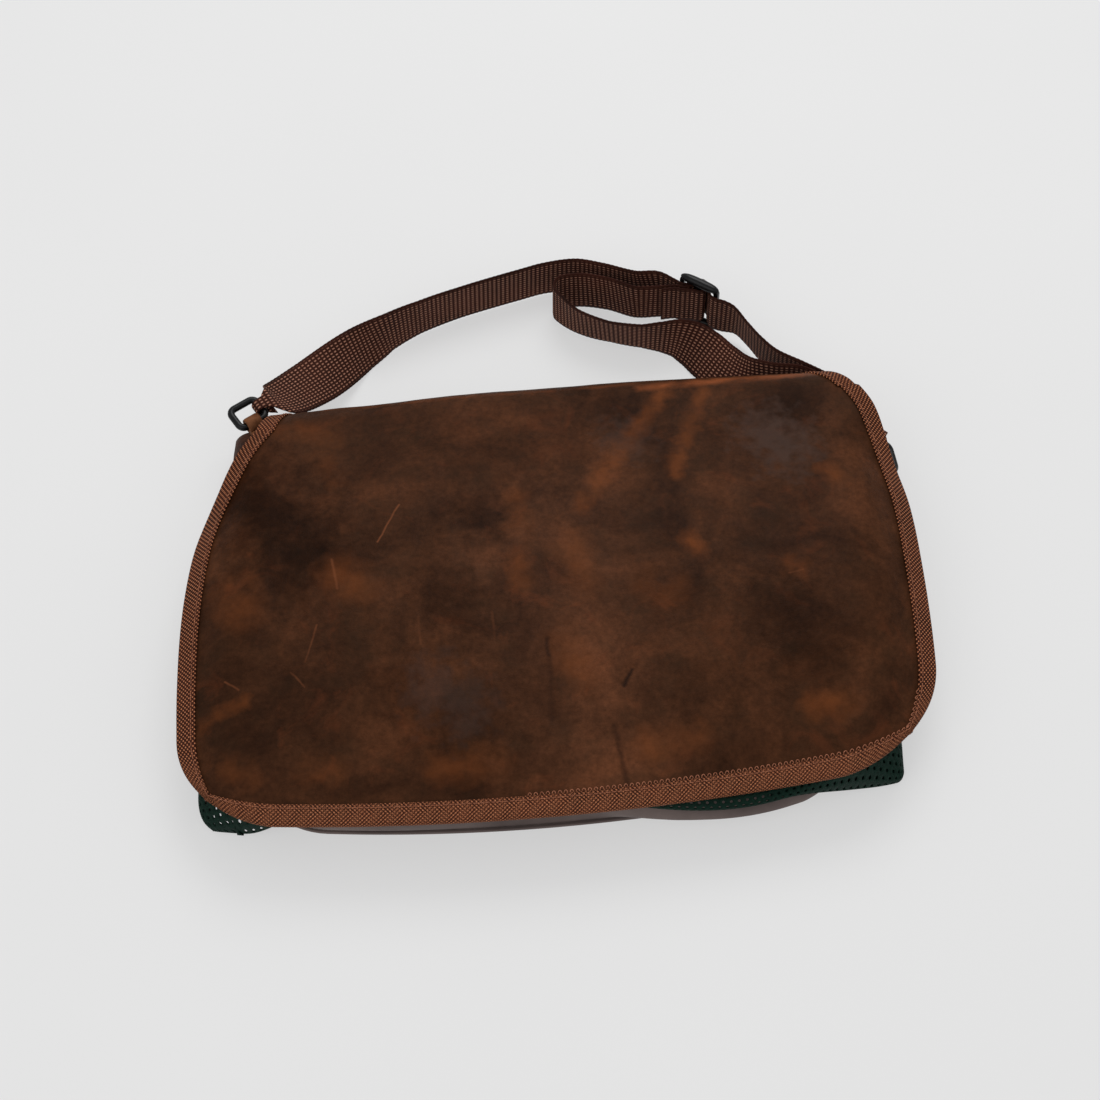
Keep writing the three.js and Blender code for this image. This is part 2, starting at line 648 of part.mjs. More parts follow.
// Ring tab: a leather strip folded round the bar, its two layers sewn flat beside it
function ringTab(ring) {
  const hole = WIRE / 2 + CLEAR + 0.1;
  const outer = hole + HIDE;
  const layers = 2 * HIDE - outer;
  const outline = new THREE.Shape();
  outline.moveTo(0, -outer);
  outline.lineTo(TAB_TAIL, -outer);
  outline.lineTo(TAB_TAIL, layers);
  outline.lineTo(Math.sqrt(outer ** 2 - layers ** 2), layers);
  outline.absarc(0, 0, outer, Math.asin(layers / outer), -Math.PI / 2, false);
  const eye = new THREE.Path();
  eye.absarc(0, 0, hole, 0, 2 * Math.PI, true);
  outline.holes.push(eye);
  const plain = { depth: TAB_WIDTH, bevelEnabled: false, curveSegments: 14 };
  const geometry = new THREE.ExtrudeGeometry(outline, plain);
  const { bar } = ringAxes(ring);
  const tail = vector(ring.tail);
  tail.addScaledVector(bar, -tail.dot(bar)).normalize();
  const off = bar.clone().cross(tail).multiplyScalar(ring.seat);
  const depth = tail.clone().cross(off);
  const start = vector(ring.at).addScaledVector(bar, ring.tabShift).addScaledVector(depth, -TAB_WIDTH / 2);
  geometry.applyMatrix4(new THREE.Matrix4().makeBasis(tail, off, depth).setPosition(start));
  return geometry;
}

// Axes of the slider: along the strap, along its bars, and out of its front
function sliderAxes() {
  const forward = new THREE.Vector3(Math.cos(SLIDER_HEADING), Math.sin(SLIDER_HEADING), 0);
  const level = new THREE.Vector3(-forward.y, forward.x, 0);
  const side = level.multiplyScalar(Math.cos(SLIDER_TILT)).setZ(Math.sin(SLIDER_TILT));
  return { forward, side, front: forward.clone().cross(side) };
}

// Draws a rectangle with rounded corners into a path
function roundedRectangle(path, left, right, half, radius) {
  path.moveTo(left + radius, -half);
  path.lineTo(right - radius, -half);
  path.quadraticCurveTo(right, -half, right, radius - half);
  path.lineTo(right, half - radius);
  path.quadraticCurveTo(right, half, right - radius, half);
  path.lineTo(left + radius, half);
  path.quadraticCurveTo(left, half, left, half - radius);
  path.lineTo(left, radius - half);
  path.quadraticCurveTo(left, -half, left + radius, -half);
  return path;
}

// Slider: a flat frame with a middle bar between two slots
function slider() {
  const halfWidth = SLIDER_WIDTH / 2;
  const slotHalf = WEB_WIDTH / 2 + 0.4;
  const outline = roundedRectangle(new THREE.Shape(), -halfWidth, halfWidth, SLIDER_LENGTH / 2, 4);
  const slotNear = SLIDER_BAR / 2;
  const slotFar = halfWidth - SLIDER_BAR;
  outline.holes.push(roundedRectangle(new THREE.Path(), -slotFar, -slotNear, slotHalf, 0.8));
  outline.holes.push(roundedRectangle(new THREE.Path(), slotNear, slotFar, slotHalf, 0.8));
  const plain = { depth: SLIDER_BAR, bevelEnabled: false, curveSegments: 3 };
  const geometry = new THREE.ExtrudeGeometry(outline, plain);
  const { forward, side, front } = sliderAxes();
  const start = vector(SLIDER_AT).addScaledVector(front, -SLIDER_BAR / 2);
  geometry.applyMatrix4(new THREE.Matrix4().makeBasis(forward, side, front).setPosition(start));
  return geometry;
}

// Stations of the strap from a table of its route over the floor
function routeStations(table) {
  const centres = table.map(({ x, y, z }) => new THREE.Vector3(x, y, z));
  const last = centres.length - 1;
  return table.map(({ tilt }, k) => {
    const run = centres[Math.min(k + 1, last)].clone().sub(centres[Math.max(k - 1, 0)]).setZ(0).normalize();
    const lean = THREE.MathUtils.degToRad(tilt);
    const side = new THREE.Vector3(-run.y, run.x, 0).multiplyScalar(Math.cos(lean)).setZ(Math.sin(lean));
    return { centre: centres[k], side, width: WEB_WIDTH };
  });
}

// Stations of the strap where it passes through the slider
function sliderStations(table) {
  const { forward, side, front } = sliderAxes();
  return table.map(({ along: run, rise }) => ({
    centre: vector(SLIDER_AT).addScaledVector(forward, run).addScaledVector(front, rise),
    side,
    width: WEB_WIDTH,
  }));
}

// Stations of the strap where it turns round the end of a ring, gathered to fit
function ringStations(ring, turnSign) {
  const { reach, bar } = ringAxes(ring);
  const side = reach.clone().multiplyScalar(ring.strapSide);
  const centre = vector(ring.at).addScaledVector(bar, RING_HALF).addScaledVector(reach, ring.length / 2);
  const rise = bar.clone().cross(side).multiplyScalar(turnSign);
  return RING_TURN.map((step) => ({
    centre: centre.clone().addScaledVector(bar, step.away).addScaledVector(rise, step.rise),
    side,
    width: step.width,
  }));
}

// Strap: one length of webbing, lofted through stations spaced closely enough to bend smoothly
function strap() {
  const stations = [
    ...ringStations(RINGS.left, 1),
    ...routeStations(STRAP_OUT),
    ...sliderStations(SLIDER_PASS),
    ...routeStations(STRAP_TO_RING),
    ...ringStations(RINGS.right, -1),
    ...routeStations(STRAP_BACK),
    ...sliderStations(SLIDER_SEWN),
  ];
  const curve = new THREE.CatmullRomCurve3(stations.map((station) => station.centre), false, 'centripetal');
  const spans = stations.length - 1;
  const sections = [];
  for (let k = 0; k < spans; k += 1) {
    const from = stations[k];
    const to = stations[k + 1];
    const steps = Math.max(1, Math.round(from.centre.distanceTo(to.centre) / STRAP_STEP));
    const shares = spread(0, 1, steps + 1).slice(0, k === spans - 1 ? undefined : -1);
    for (const share of shares) {
      const t = (k + share) / spans;
      const centre = curve.getPoint(t);
      const run = curve.getTangent(t);
      const side = from.side.clone().lerp(to.side, share);
      side.addScaledVector(run, -side.dot(run)).normalize();
      const face = run.clone().cross(side);
      const half = THREE.MathUtils.lerp(from.width, to.width, share) / 2;
      const corner = (across, out) => centre.clone()
        .addScaledVector(side, across * half)
        .addScaledVector(face, (out * WEB) / 2);
      sections.push([corner(-1, -1), corner(1, -1), corner(1, 1), corner(-1, 1)]);
    }
  }
  return loft(sections, false);
}

const flapOutside = flapGrid();
const pieces = [
  { name: 'back_panel', geometry: backPanel(), colour: COLOURS.leather },
  { name: 'pouch', geometry: pouch(), colour: COLOURS.innerLeather },
  { name: 'game_net', geometry: gameNet(), colour: COLOURS.net },
  { name: 'flap', geometry: flap(flapOutside), colour: COLOURS.leather },
  { name: 'flap_binding', geometry: flapBinding(flapOutside), colour: COLOURS.tape },
  { name: 'ring_tab_left', geometry: ringTab(RINGS.left), colour: COLOURS.leather },
  { name: 'ring_tab_right', geometry: ringTab(RINGS.right), colour: COLOURS.leather },
  { name: 'ring_left', geometry: wireRing(RINGS.left), colour: COLOURS.metal },
  { name: 'ring_right', geometry: wireRing(RINGS.right), colour: COLOURS.metal },
  { name: 'strap', geometry: strap(), colour: COLOURS.webbing },
  { name: 'slider', geometry: slider(), colour: COLOURS.metal },
];

const bag = new THREE.Group();
bag.name = 'game_bag';
for (const { name, geometry, colour } of pieces) {
  const mesh = new THREE.Mesh(geometry, new THREE.MeshStandardMaterial({ color: colour, roughness: 0.7 }));
  mesh.name = name;
  bag.add(mesh);
}

export default bag;
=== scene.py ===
import math

import bpy
import numpy as np
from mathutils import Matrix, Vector


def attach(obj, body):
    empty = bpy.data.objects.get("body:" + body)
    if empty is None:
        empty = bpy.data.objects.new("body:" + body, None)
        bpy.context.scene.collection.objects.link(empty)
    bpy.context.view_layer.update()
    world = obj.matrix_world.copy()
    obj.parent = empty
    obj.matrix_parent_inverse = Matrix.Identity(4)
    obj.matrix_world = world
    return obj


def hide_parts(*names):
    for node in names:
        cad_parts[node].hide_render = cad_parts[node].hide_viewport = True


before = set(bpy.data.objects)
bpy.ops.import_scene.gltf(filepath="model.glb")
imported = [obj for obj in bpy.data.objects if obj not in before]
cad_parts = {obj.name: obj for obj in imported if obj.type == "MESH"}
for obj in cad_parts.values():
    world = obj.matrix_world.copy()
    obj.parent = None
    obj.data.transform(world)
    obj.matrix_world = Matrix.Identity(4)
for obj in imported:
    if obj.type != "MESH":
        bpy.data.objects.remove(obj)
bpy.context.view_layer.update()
MM = 0.001

# Camera at the view of the photograph
VIEW_AZIMUTH = math.radians(-5.7)
VIEW_ELEVATION = math.radians(57)
VIEW_DISTANCE = 1.25
VIEW_TARGET = Vector((0, 0.022, 0.020))
VIEW_LENS = 73.0

# Floor, which partly glows so that the ground is even, and lights: name, place, target, size, power
FLOOR_HALF = 4000.0
FLOOR_GLOW = 0.50
SKY = 0.62
LIGHTS = (
    ("key", (0.3, 1.1, 1.5), (0, 0.05, 0), 1.2, 12),
    ("fill", (-1.0, -0.9, 1.4), (0, 0, 0), 1.4, 4),
)

# Thickness of each material
HIDE = 2.2
NET = 1.0
TAPE = 0.8
WEB = 1.5
WEB_WIDTH = 30.0
WIRE = 4.2
CLEAR = 0.3

# The bag lies a little skewed, and its lower edges bow over a length up from the bottom
SKEW = 0.062
SKEW_Y = -11.0
BOW_LENGTH = 170.0

# Pouch and back panel
POUCH_BOTTOM = -138.0
POUCH_CORNER = 45.0
POUCH_BOW = 15.0
MOUTH_Y = 94.0
EARS = {"left": 119.0, "right": 108.0}
EAR_START = 128.0
EAR_DROP = 6.0
EAR_DROP_END = 152.0
EAR_DROP_SPAN = (MOUTH_Y - 18, MOUTH_Y + 4)
EAR_RISE_END = 153.0
SEAM_MARGIN = 1.5
CORNER_HOLD = 1.2
POUCH_BULGE = 3.0
BACK_TOP = 106.0
BACK_BEVEL = 0.5
BACK_POINTS = {"side": 40, "corner": 18, "bottom": 24}
BELLY = {
    "y": (118, 96, 40, 0, -70, -124, -150),
    "rise": (33, 38, 45, 47, 43, 34, 30),
}
POUCH_SIDE = {
    "y": (-150, 10, 65, 88, 104, 120),
    "left": (170.5, 171, 175.5, 177, 179.5, 179),
    "right": (170.5, 171, 175.5, 174, 163, 161),
}
BOTTOM_WAVES = {
    "x": (-95, -9, 97),
    "width": (45, 36, 62),
    "swell": (1, -9, 13.5),
}
POUCH_COUNTS = {"wall": 22, "across": 120, "down": 90}
# Relief of the pouch's leather: height, size of its bumps, seed
POUCH_RELIEF = (0.5, 38, 11)
POUCH_WALL = {
    "inset": (0, -POUCH_BULGE, -POUCH_BULGE, 2.5, 14),
    "height": (0, 0.28, 0.6, 0.9, 1),
}

# Net pocket
NET_TOP = 45.0
NET_BOTTOM = -143.0
NET_RIM_MIDDLE = 29.5
NET_RIM_TIP = 3.0
NET_RIM_SIDE = 16.0
NET_LIFT = 3.4
NET_BELLY = 3.6
NET_WALL = {
    "inset": (0, 0.2, 3, 9, 18),
    "height": (0, 0.45, 0.82, 0.95, 1),
}
NET_TIPS = {
    "left": {"flare": 20, "tuck": 8, "drop_from": 132, "radius": 12, "hang": 0},
    "right": {"flare": 7, "tuck": 0, "drop_from": 112, "radius": 4, "hang": 4},
}
NET_ROW = 15.5
NET_TIP_SIZE = 17.0
NET_TIP_FALL = 0.64
NET_COUNTS = {"wall": 18, "across": 110, "down": 70}
# Where the net changes, from and to: flare by y, belly by x and by y, side rim by y; low rim ends by x
NET_FLARE_SPAN = (-50, NET_BOTTOM + 10)
NET_BELLY_ACROSS = (60, 168)
NET_BELLY_DOWN = (NET_BOTTOM + 15, NET_BOTTOM + 75)
NET_SIDE_SPAN = (NET_BOTTOM + 12, NET_BOTTOM + 60)
NET_DROP_END = 170.0
# Meshes of the net: pitch, hole as a share of the mesh, plain edge, width doubled at the right corner
NET_MESH = 4.08
NET_HOLE = 0.38
NET_EDGE = 0.4
NET_DOUBLE = 95.0
HEM_GAP = 0.4

# Flap and its binding
ROOT_Y = 74.0
FOLD_Y = 99.5
FOLD_RADIUS = 21.75
FOLD_BULGE = 5.5
FLARE_DEGREES = 110.0
ROOT_HALF = 153.0
NECK_HALF = 156.0
NECK_FROM = 86.75
FLAP_END = -150.0
FLAP_BOW = 16.0
FLAP_CORNERS = {"left": 52.0, "right": 60.0}
FLAP_CROWN = 3.0
CROWN_HALF = 150.0
FLAP_SHOULDER = 156.0
FLAP_SAG = 15.0
SAG_FULL_Y = 40.0
FLAP_COLUMNS = 222
FLAP_FOLD_ROWS = 34
FLAP_RUN_ROWS = 132
CREASE_DEPTH = 0.6
# Soft relief of the flap's leather: height, size of its bumps, seed; it grows over a span of height
# and over a span in from the edge
FLAP_RELIEF = (
    (0.55, 46, 3),
    (0.22, 15, 5),
)
RELIEF_HEIGHT = (25, 40)
RELIEF_EDGE = (11, 26)
FLAP_RUN = {
    "y": (99.5, 86, 67, 43, 18, -20, -65, -105, -150),
    "left": (167, 176, 185, 194.5, 199.5, 202.5, 203, 202, 201),
    "right": (178.5, 185.5, 190.5, 195.5, 199, 200.5, 201.2, 200.8, 200.5),
    "rise": (46, 47.6, 51, 54.5, 57, 58, 54.5, 48, 38),
}
BINDING_WIDTH = 10.0
BINDING_FROM = -67.5
BINDING_GAP = 0.45
BINDING_STEP = 0.55
BINDING_LINES = 11
RIB_PITCH = 1.9
RIB_HEIGHT = 0.06
DOT_LENGTH = 1.2
DOT_WIDTH = 1.05
CHEVRON_FROM = -95.0
CHEVRON_TO = -115.0
STITCH_PITCH = 3.1
STITCH_MARGIN = 4.0
STITCH_SHAPE = {
    "place": (0, 0.5, 1.2, 1.9, 2.4),
    "rise": (-0.35, 0.02, 0.1, 0.02, -0.35),
}
STITCH_LINE = 8
STITCH_RADIUS = 0.22
LOOP_FROM_X = -20.0
LOOP_REACH = 1.4
LOOP_HALF = 0.9
LOOP_POINTS = 9
LOOP_RADIUS = 0.24

# Rings and their tabs
RING_HALF = 8.5
RING_CORNER = 3.6
TAB_TAIL = 18.0
TAB_WIDTH = 9.0
TAB_CLEAR = 0.1
TAB_POINTS = {"turn": 40, "run": 14, "across": 9}
RINGS = {
    "left": {
        "at": (-161.1, 117.4, 33.05),
        "length": 14,
        "reach": (-0.51, 0.86, 0.12),
        "bar": (0.86, 0.51, 0),
        "tail": (0.51, -0.86, 0),
        "tab_shift": -0.8,
        "strap_side": 1,
    },
    "right": {
        "at": (189.4, 66.5, 26),
        "length": 18.5,
        "reach": (0.77, 0.12, -0.61),
        "bar": (0.04, 1, 0),
        "tail": (0, 0, -1),
        "tab_shift": 0,
        "strap_side": -1,
    },
}

# Strap slider
SLIDER_AT = (107, 190.4, 20.8)
SLIDER_HEADING = math.radians(-37)
SLIDER_TILT = math.radians(92)
SLIDER_LENGTH = 41.0
SLIDER_WIDTH = 26.0
SLIDER_BAR = 3.0
SLIDER_BEVEL = 0.5
SLIDER_CORNER = 4.0
SLOT_CORNER = 0.8
SLOT_CLEAR = 0.4
SLIDER_END = (2.7, 3.0)

# Turn of the strap round a ring: away from the wire, rise to either side, gathered width
RING_TURN = (
    (7, -2.8, 15),
    (3, -3.4, 8),
    (-1.9, -3.2, 6.6),
    (-3.6, 0, 6.6),
    (-1.9, 3.2, 6.6),
    (3, 3.4, 8),
    (7, 2.8, 15),
)
# Route of the strap over the floor: x, y, z, and tilt of its width, 0 flat and 90 on edge
STRAP_OUT = (
    (-146, 134.5, 30.5, 0),
    (-127, 153, 20, 20),
    (-96, 181, 14.2, 62),
    (-81, 189.5, 15.8, 80),
    (-62, 198.8, 16, 89),
    (-37, 207.8, 16, 92),
    (1, 218.2, 16, 92),
    (17, 222, 16, 92),
    (36, 222.6, 16, 90),
    (52, 217.2, 16.4, 90),
    (71, 208.2, 17.8, 91),
)
STRAP_TO_RING = (
    (126.5, 174.2, 20.5, 98),
    (133, 164.5, 19, 100),
    (139.5, 153.5, 17.6, 99),
    (147.5, 143.5, 16.2, 98),
    (162, 132.5, 16, 97),
    (174.8, 121.8, 16, 95),
    (184.5, 110.5, 16.5, 97),
    (193, 97.5, 18.5, 106),
)
STRAP_BACK = (
    (186, 97.5, 17.5, 74),
    (180, 108, 16.5, 86),
    (172, 118.4, 16, 89),
    (160.5, 127.6, 16, 90),
    (142, 130, 15.5, 102),
    (126, 135.5, 13, 126),
    (116, 145.5, 11.5, 138),
    (107.5, 157, 11.5, 136),
    (100, 164.5, 13, 120),
    (92, 168.3, 14.8, 102),
    (82, 170, 15.5, 88),
    (70, 171.8, 15.5, 78),
    (52, 177, 15.5, 75),
    (34.6, 186, 15.6, 80),
    (25.5, 195, 16, 87),
    (20.5, 203.5, 16, 90),
    (23.5, 209.3, 16, 89),
    (36, 210.5, 16.2, 88),
    (53, 205, 17.6, 90),
)
# The strap through the slider: place along it and rise out of its front
SLIDER_PASS = (
    (-26, 2.6),
    (-16, 2.7),
    (-9.4, 2.75),
    (-7, 0.9),
    (-4.8, -3.4),
    (-2, -5.3),
    (1.5, -5.3),
    (4.4, -3.7),
    (6.4, -0.6),
    (9, 2.3),
    (10.5, 2.85),
    (13.5, 2.9),
    (18, 2),
)
SLIDER_SEWN = (
    (-32, 19),
    (-22, 12.6),
    (-12, 5.7),
    (-8.2, 4.7),
    (-5.2, 1.6),
    (-2.6, -2.6),
    (0, -3.1),
    (1.9, -2.7),
    (3, -1.4),
    (3.25, 0),
    (3, 1.4),
    (1.7, 2.9),
    (-1.5, 3.6),
    (-5, 5.2),
    (-8.2, 6.9),
    (-12, 8.1),
    (-19, 13.5),
)
WEB_RIB = 2.8
WEB_BEAD = 2.0
WEB_STEP = 0.68
WEB_RELIEF = 0.1
WEB_SCALLOP = 0.12
WEB_LINES = 15

# Marks on the flap's leather: kind, from x, from y, to x, to y, half width, strength
FLAP_MARKS = (
    ("dark", -177, 77, -132, 6, 42, 0.95),
    ("dark", -63, -22, -59, -28, 24, 0.55),
    ("dark", -86, -78, -54, -103, 26, 0.55),
    ("dark", 117, -44, 130, -80, 30, 0.55),
    ("dark", 142, 91, 149, 83, 20, 0.5),
    ("dark", 37, 101, 49, 88, 26, 0.6),
    ("dark", -43, 29, -38, 22, 22, 0.5),
    ("dark", -44, 76, 18, 74, 30, 0.3),
    ("pale", -2, -6, 10, -122, 62, 0.55),
    # Greyish patches of painted sheen on the oiled leather
    ("painted_sheen", 127, 71, 136, 56, 24, 0.5),
    ("painted_sheen", 44, 76, 50, 68, 18, 0.25),
    ("painted_sheen", -70, -79, -54, -92, 22, 0.3),
    ("rust", 73, 106, 17, 23, 8, 0.75),
    ("rust", 96, 104, 71, 44, 7, 0.6),
    ("rust", -18, 34, -20, -23, 10, 0.5),
    ("rust", 6, 3, 12, -23, 16, 0.5),
    ("rust", -3, -58, 8, -81, 14, 0.5),
    ("rust", -116, -6, -109, -13, 18, 0.55),
    ("rust", -174, -11, -168, -21, 18, 0.6),
    ("rust", -123, 77, -117, 61, 10, 0.5),
    ("rust", -140, 101, -118, 92, 12, 0.5),
    ("rust", -193, -82, -171, -75, 6, 0.6),
    ("rust", -71, -122, -40, -122, 12, 0.5),
    ("rust", -138, -116, -125, -117, 10, 0.4),
    ("rust", -179, -108, -169, -116, 10, 0.4),
    ("rust", 74, -3, 77, -9, 9, 0.8),
    ("rust", 51, -30, 58, -34, 16, 0.5),
    ("rust", 125, -24, 130, -27, 9, 0.6),
    ("rust", 157, 39, 162, 33, 9, 0.6),
    ("rust", 126, -106, 143, -105, 11, 0.7),
    ("rust", 38, -119, 64, -117, 12, 0.5),
    # Painted highlight along the top of the fold
    ("fold_highlight", 60, 112, 162, 115, 5, 0.75),
    ("fold_highlight", -120, 117, 60, 116, 3, 0.2),
    ("scratch", -82, 37, -95, 13, 0.8, 0.55),
    ("scratch", -120, 4, -118, -15, 1.1, 0.35),
    ("scratch", -130, -36, -137, -57, 0.8, 0.35),
    ("scratch", -145, -62, -138, -71, 0.8, 0.5),
    ("scratch", -180, -62, -173, -68, 0.8, 0.45),
    ("scratch", -76, -37, -76, -53, 1.1, 0.3),
    ("scratch", -37, -38, -37, -54, 1.1, 0.25),
    ("scratch", 124, -29, 132, -27, 0.8, 0.4),
    # Creases: dented, with painted shade along them
    ("shaded_crease", -10, -57, -9, -66, 2.0, 0.6),
    ("shaded_crease", -9, -66, -11, -101, 2.2, 0.25),
    ("shaded_crease", 33, -78, 28, -87, 1.6, 0.8),
    ("shaded_crease", 21, -108, 24, -140, 2.2, 0.45),
)


# Shapes shared by the pieces

def ease(value, start, end):
    """Share of the way from start to end, eased at both ends."""
    share = np.clip((value - start) / (end - start), 0, 1)
    return share * share * (3 - 2 * share)


def mix(start, end, share):
    return start + (end - start) * share


def along(table, column, y):
    """Smooth curve through one column of a table, read at y."""
    order = np.argsort(table["y"])
    place = np.asarray(table["y"], float)[order]
    value = np.asarray(table[column], float)[order]
    index = np.arange(len(place))
    low = np.maximum(index - 1, 0)
    high = np.minimum(index + 1, len(place) - 1)
    slope = (value[high] - value[low]) / (place[high] - place[low])
    y = np.clip(y, place[0], place[-1])
    k = np.clip(np.searchsorted(place, y, side="right") - 1, 0, len(place) - 2)
    span = place[k + 1] - place[k]
    t = (y - place[k]) / span
    rest = value[k + 1] - value[k]
    leave = slope[k] * span
    arrive = slope[k + 1] * span
    return value[k] + t * (leave + t * (3 * rest - 2 * leave - arrive + t * (leave + arrive - 2 * rest)))


def by_side(x, left, right):
    """The left or the right value, by the side of the bag that x lies on."""
    return np.where(x < 0, left, right)


def round_corner(x, y, half, bottom, radius):
    """Moves a point in the lower corner square into the quarter circle."""
    side = (np.abs(x) - (half - radius)) / radius
    low = (bottom + radius - y) / radius
    cornered = (side > 0) & (low > 0)
    side = np.where(cornered, side, 0)
    low = np.where(cornered, low, 0)
    round_x = half - radius + radius * side * np.sqrt(1 - low**2 / 2)
    round_y = bottom + radius - radius * low * np.sqrt(1 - side**2 / 2)
    return np.where(cornered, np.sign(x) * round_x, x), np.where(cornered, round_y, y)


def bowed(x, y, half, bottom, bow):
    return bow * (x / half) ** 2 * ease(y, bottom + BOW_LENGTH, bottom)


def crown(x):
    return FLAP_CROWN * (x / CROWN_HALF) ** 2


def skewed(points):
    """Points of a bag piece, shifted with the bag's skew."""
    moved = np.array(points, float)
    moved[..., 0] += SKEW * (moved[..., 1] - SKEW_Y)
    return moved


def unit(vectors):
    vectors = np.asarray(vectors, float)
    return vectors / np.maximum(np.linalg.norm(vectors, axis=-1, keepdims=True), 1e-9)


def length_along(points):
    """Distance run along a line, at each of its points."""
    return np.concatenate([[0], np.cumsum(np.linalg.norm(np.diff(points, axis=0), axis=-1))])


def grid_normals(grid):
    """Outward directions of a grid whose rows go down and whose columns go across."""
    down = np.gradient(grid, axis=0)
    across = np.gradient(grid, axis=1)
    return unit(np.cross(down, across))


def soft_noise(x, y, size, seed):
    """Smooth noise from -1 to 1 with bumps of about the given size."""
    lattice = np.random.default_rng(seed).uniform(-1, 1, (128, 128))
    column = x / size + 64
    row = y / size + 64
    j = np.floor(column).astype(int)
    i = np.floor(row).astype(int)
    s = ease(column - j, 0, 1)
    t = ease(row - i, 0, 1)
    upper = mix(lattice[i % 128, j % 128], lattice[i % 128, (j + 1) % 128], s)
    lower = mix(lattice[(i + 1) % 128, j % 128], lattice[(i + 1) % 128, (j + 1) % 128], s)
    return mix(upper, lower, t)


# Meshes

def link(thing):
    bpy.context.scene.collection.objects.link(thing)


def make_piece(name, points, faces, material, uv=None):
    """Mesh object from points in millimetres; uv, also in millimetres, is given per point."""
    mesh = bpy.data.meshes.new(name)
    mesh.from_pydata((np.asarray(points) * MM).tolist(), [], faces)
    mesh.validate()
    if uv is not None:
        corners = np.empty(len(mesh.loops), int)
        mesh.loops.foreach_get("vertex_index", corners)
        layer = mesh.uv_layers.new(name="weave")
        layer.data.foreach_set("uv", (np.asarray(uv)[corners] * MM).ravel())
    mesh.shade_smooth()
    mesh.materials.append(material)
    piece = bpy.data.objects.new(name, mesh)
    link(piece)
    return piece


def place_piece(piece, slot, *nodes):
    """The piece rides on the bag and hides the solids it stands for; its slot is not used."""
    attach(piece, "root")
    if nodes:
        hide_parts(*nodes)


def quads(a, b, c, d):
    return np.stack([a.ravel(), b.ravel(), c.ravel(), d.ravel()], -1).tolist()


def sheet_faces(rows, columns):
    """Faces of a closed sheet between a front grid and a grid behind it, in that order of points."""
    front = np.arange(rows * columns).reshape(rows, columns)
    behind = front + rows * columns
    faces = quads(front[:-1, :-1], front[1:, :-1], front[1:, 1:], front[:-1, 1:])
    faces += quads(behind[:-1, :-1], behind[:-1, 1:], behind[1:, 1:], behind[1:, :-1])
    rim = np.concatenate([front[:, 0], front[-1, 1:], front[-2::-1, -1], front[0, -2:0:-1]])
    after = np.roll(rim, -1)
    faces += quads(rim, rim + rows * columns, after + rows * columns, after)
    return faces


def loft_faces(count, size, is_loop=False):
    """Faces through a row of closed sections of like size, capped unless the row is a loop."""
    at = np.arange(count * size).reshape(count, size)
    here = at if is_loop else at[:-1]
    after = np.roll(at, -1, axis=0) if is_loop else at[1:]
    faces = quads(here, after, np.roll(after, -1, axis=1), np.roll(here, -1, axis=1))
    if not is_loop:
        faces += [at[0].tolist(), at[-1, ::-1].tolist()]
    return faces


def build_sheet(name, outside, behind, material, slot, node):
    """Closed leather piece between an outer grid and a grid behind it."""
    points = skewed(np.concatenate([outside.reshape(-1, 3), behind.reshape(-1, 3)]))
    piece = make_piece(name, points, sheet_faces(*outside.shape[:2]), material)
    place_piece(piece, slot, node)


def tube(path, radius, sides=8, is_loop=False):
    """Points and faces of a round tube along a path."""
    path = np.asarray(path, float)
    run = np.roll(path, -1, axis=0) - np.roll(path, 1, axis=0) if is_loop else np.gradient(path, axis=0)
    run = unit(run)
    aside = np.zeros_like(run)
    last = np.cross(run[0], (0.31, 0.52, 0.8))
    for k, direction in enumerate(run):
        last = last - direction * (last @ direction)
        last = last / np.linalg.norm(last)
        aside[k] = last
    other = np.cross(run, aside)
    angle = np.linspace(0, 2 * math.pi, sides, endpoint=False)
    ring = aside[:, None] * np.cos(angle)[None, :, None] + other[:, None] * np.sin(angle)[None, :, None]
    points = path[:, None] + radius * ring
    return points.reshape(-1, 3), loft_faces(len(path), sides, is_loop)


def join_parts(parts):
    """One list of points and faces from several."""
    points = []
    faces = []
    for part_points, part_faces in parts:
        start = sum(len(group) for group in points)
        points.append(part_points)
        faces += [[start + k for k in face] for face in part_faces]
    return np.concatenate(points), faces


# Pouch and net as grids

def pouch_reach(x, y):
    return by_side(x, along(POUCH_SIDE, "left", y), along(POUCH_SIDE, "right", y))


def belly_height(x, y):
    ear = ease(y, *EAR_DROP_SPAN) * ease(np.abs(x), EAR_START, EAR_DROP_END)
    return along(BELLY, "rise", y) - crown(x) - EAR_DROP * ear


def bottom_swell(x):
    waves = zip(BOTTOM_WAVES["x"], BOTTOM_WAVES["width"], BOTTOM_WAVES["swell"])
    return sum(swell * np.exp(-(((x - place) / width) ** 2)) for place, width, swell in waves)


def wall_section(wall, count):
    """Inset and height up a pocket's wall, on a smooth curve."""
    table = {"y": np.arange(len(wall["inset"])), **wall}
    place = np.linspace(0, len(wall["inset"]) - 1, count)
    return along(table, "inset", place), along(table, "height", place)


def pocket_lines(wall, wall_count, even_count):
    """Lines down a pocket: its left wall, even lines over its front, its right wall."""
    inset, height = wall_section(wall, wall_count)
    even = np.linspace(0, 1, even_count + 2)[1:-1]
    side = np.repeat([-1, 0, 1], [wall_count, even_count, wall_count])
    return {
        "side": side,
        "inset": np.concatenate([inset, np.zeros(even_count), inset[::-1]])[None, :],
        "height": np.concatenate([height, np.ones(even_count), height[::-1]])[None, :],
        "share": np.concatenate([np.zeros(wall_count), even, np.ones(wall_count)])[None, :],
    }


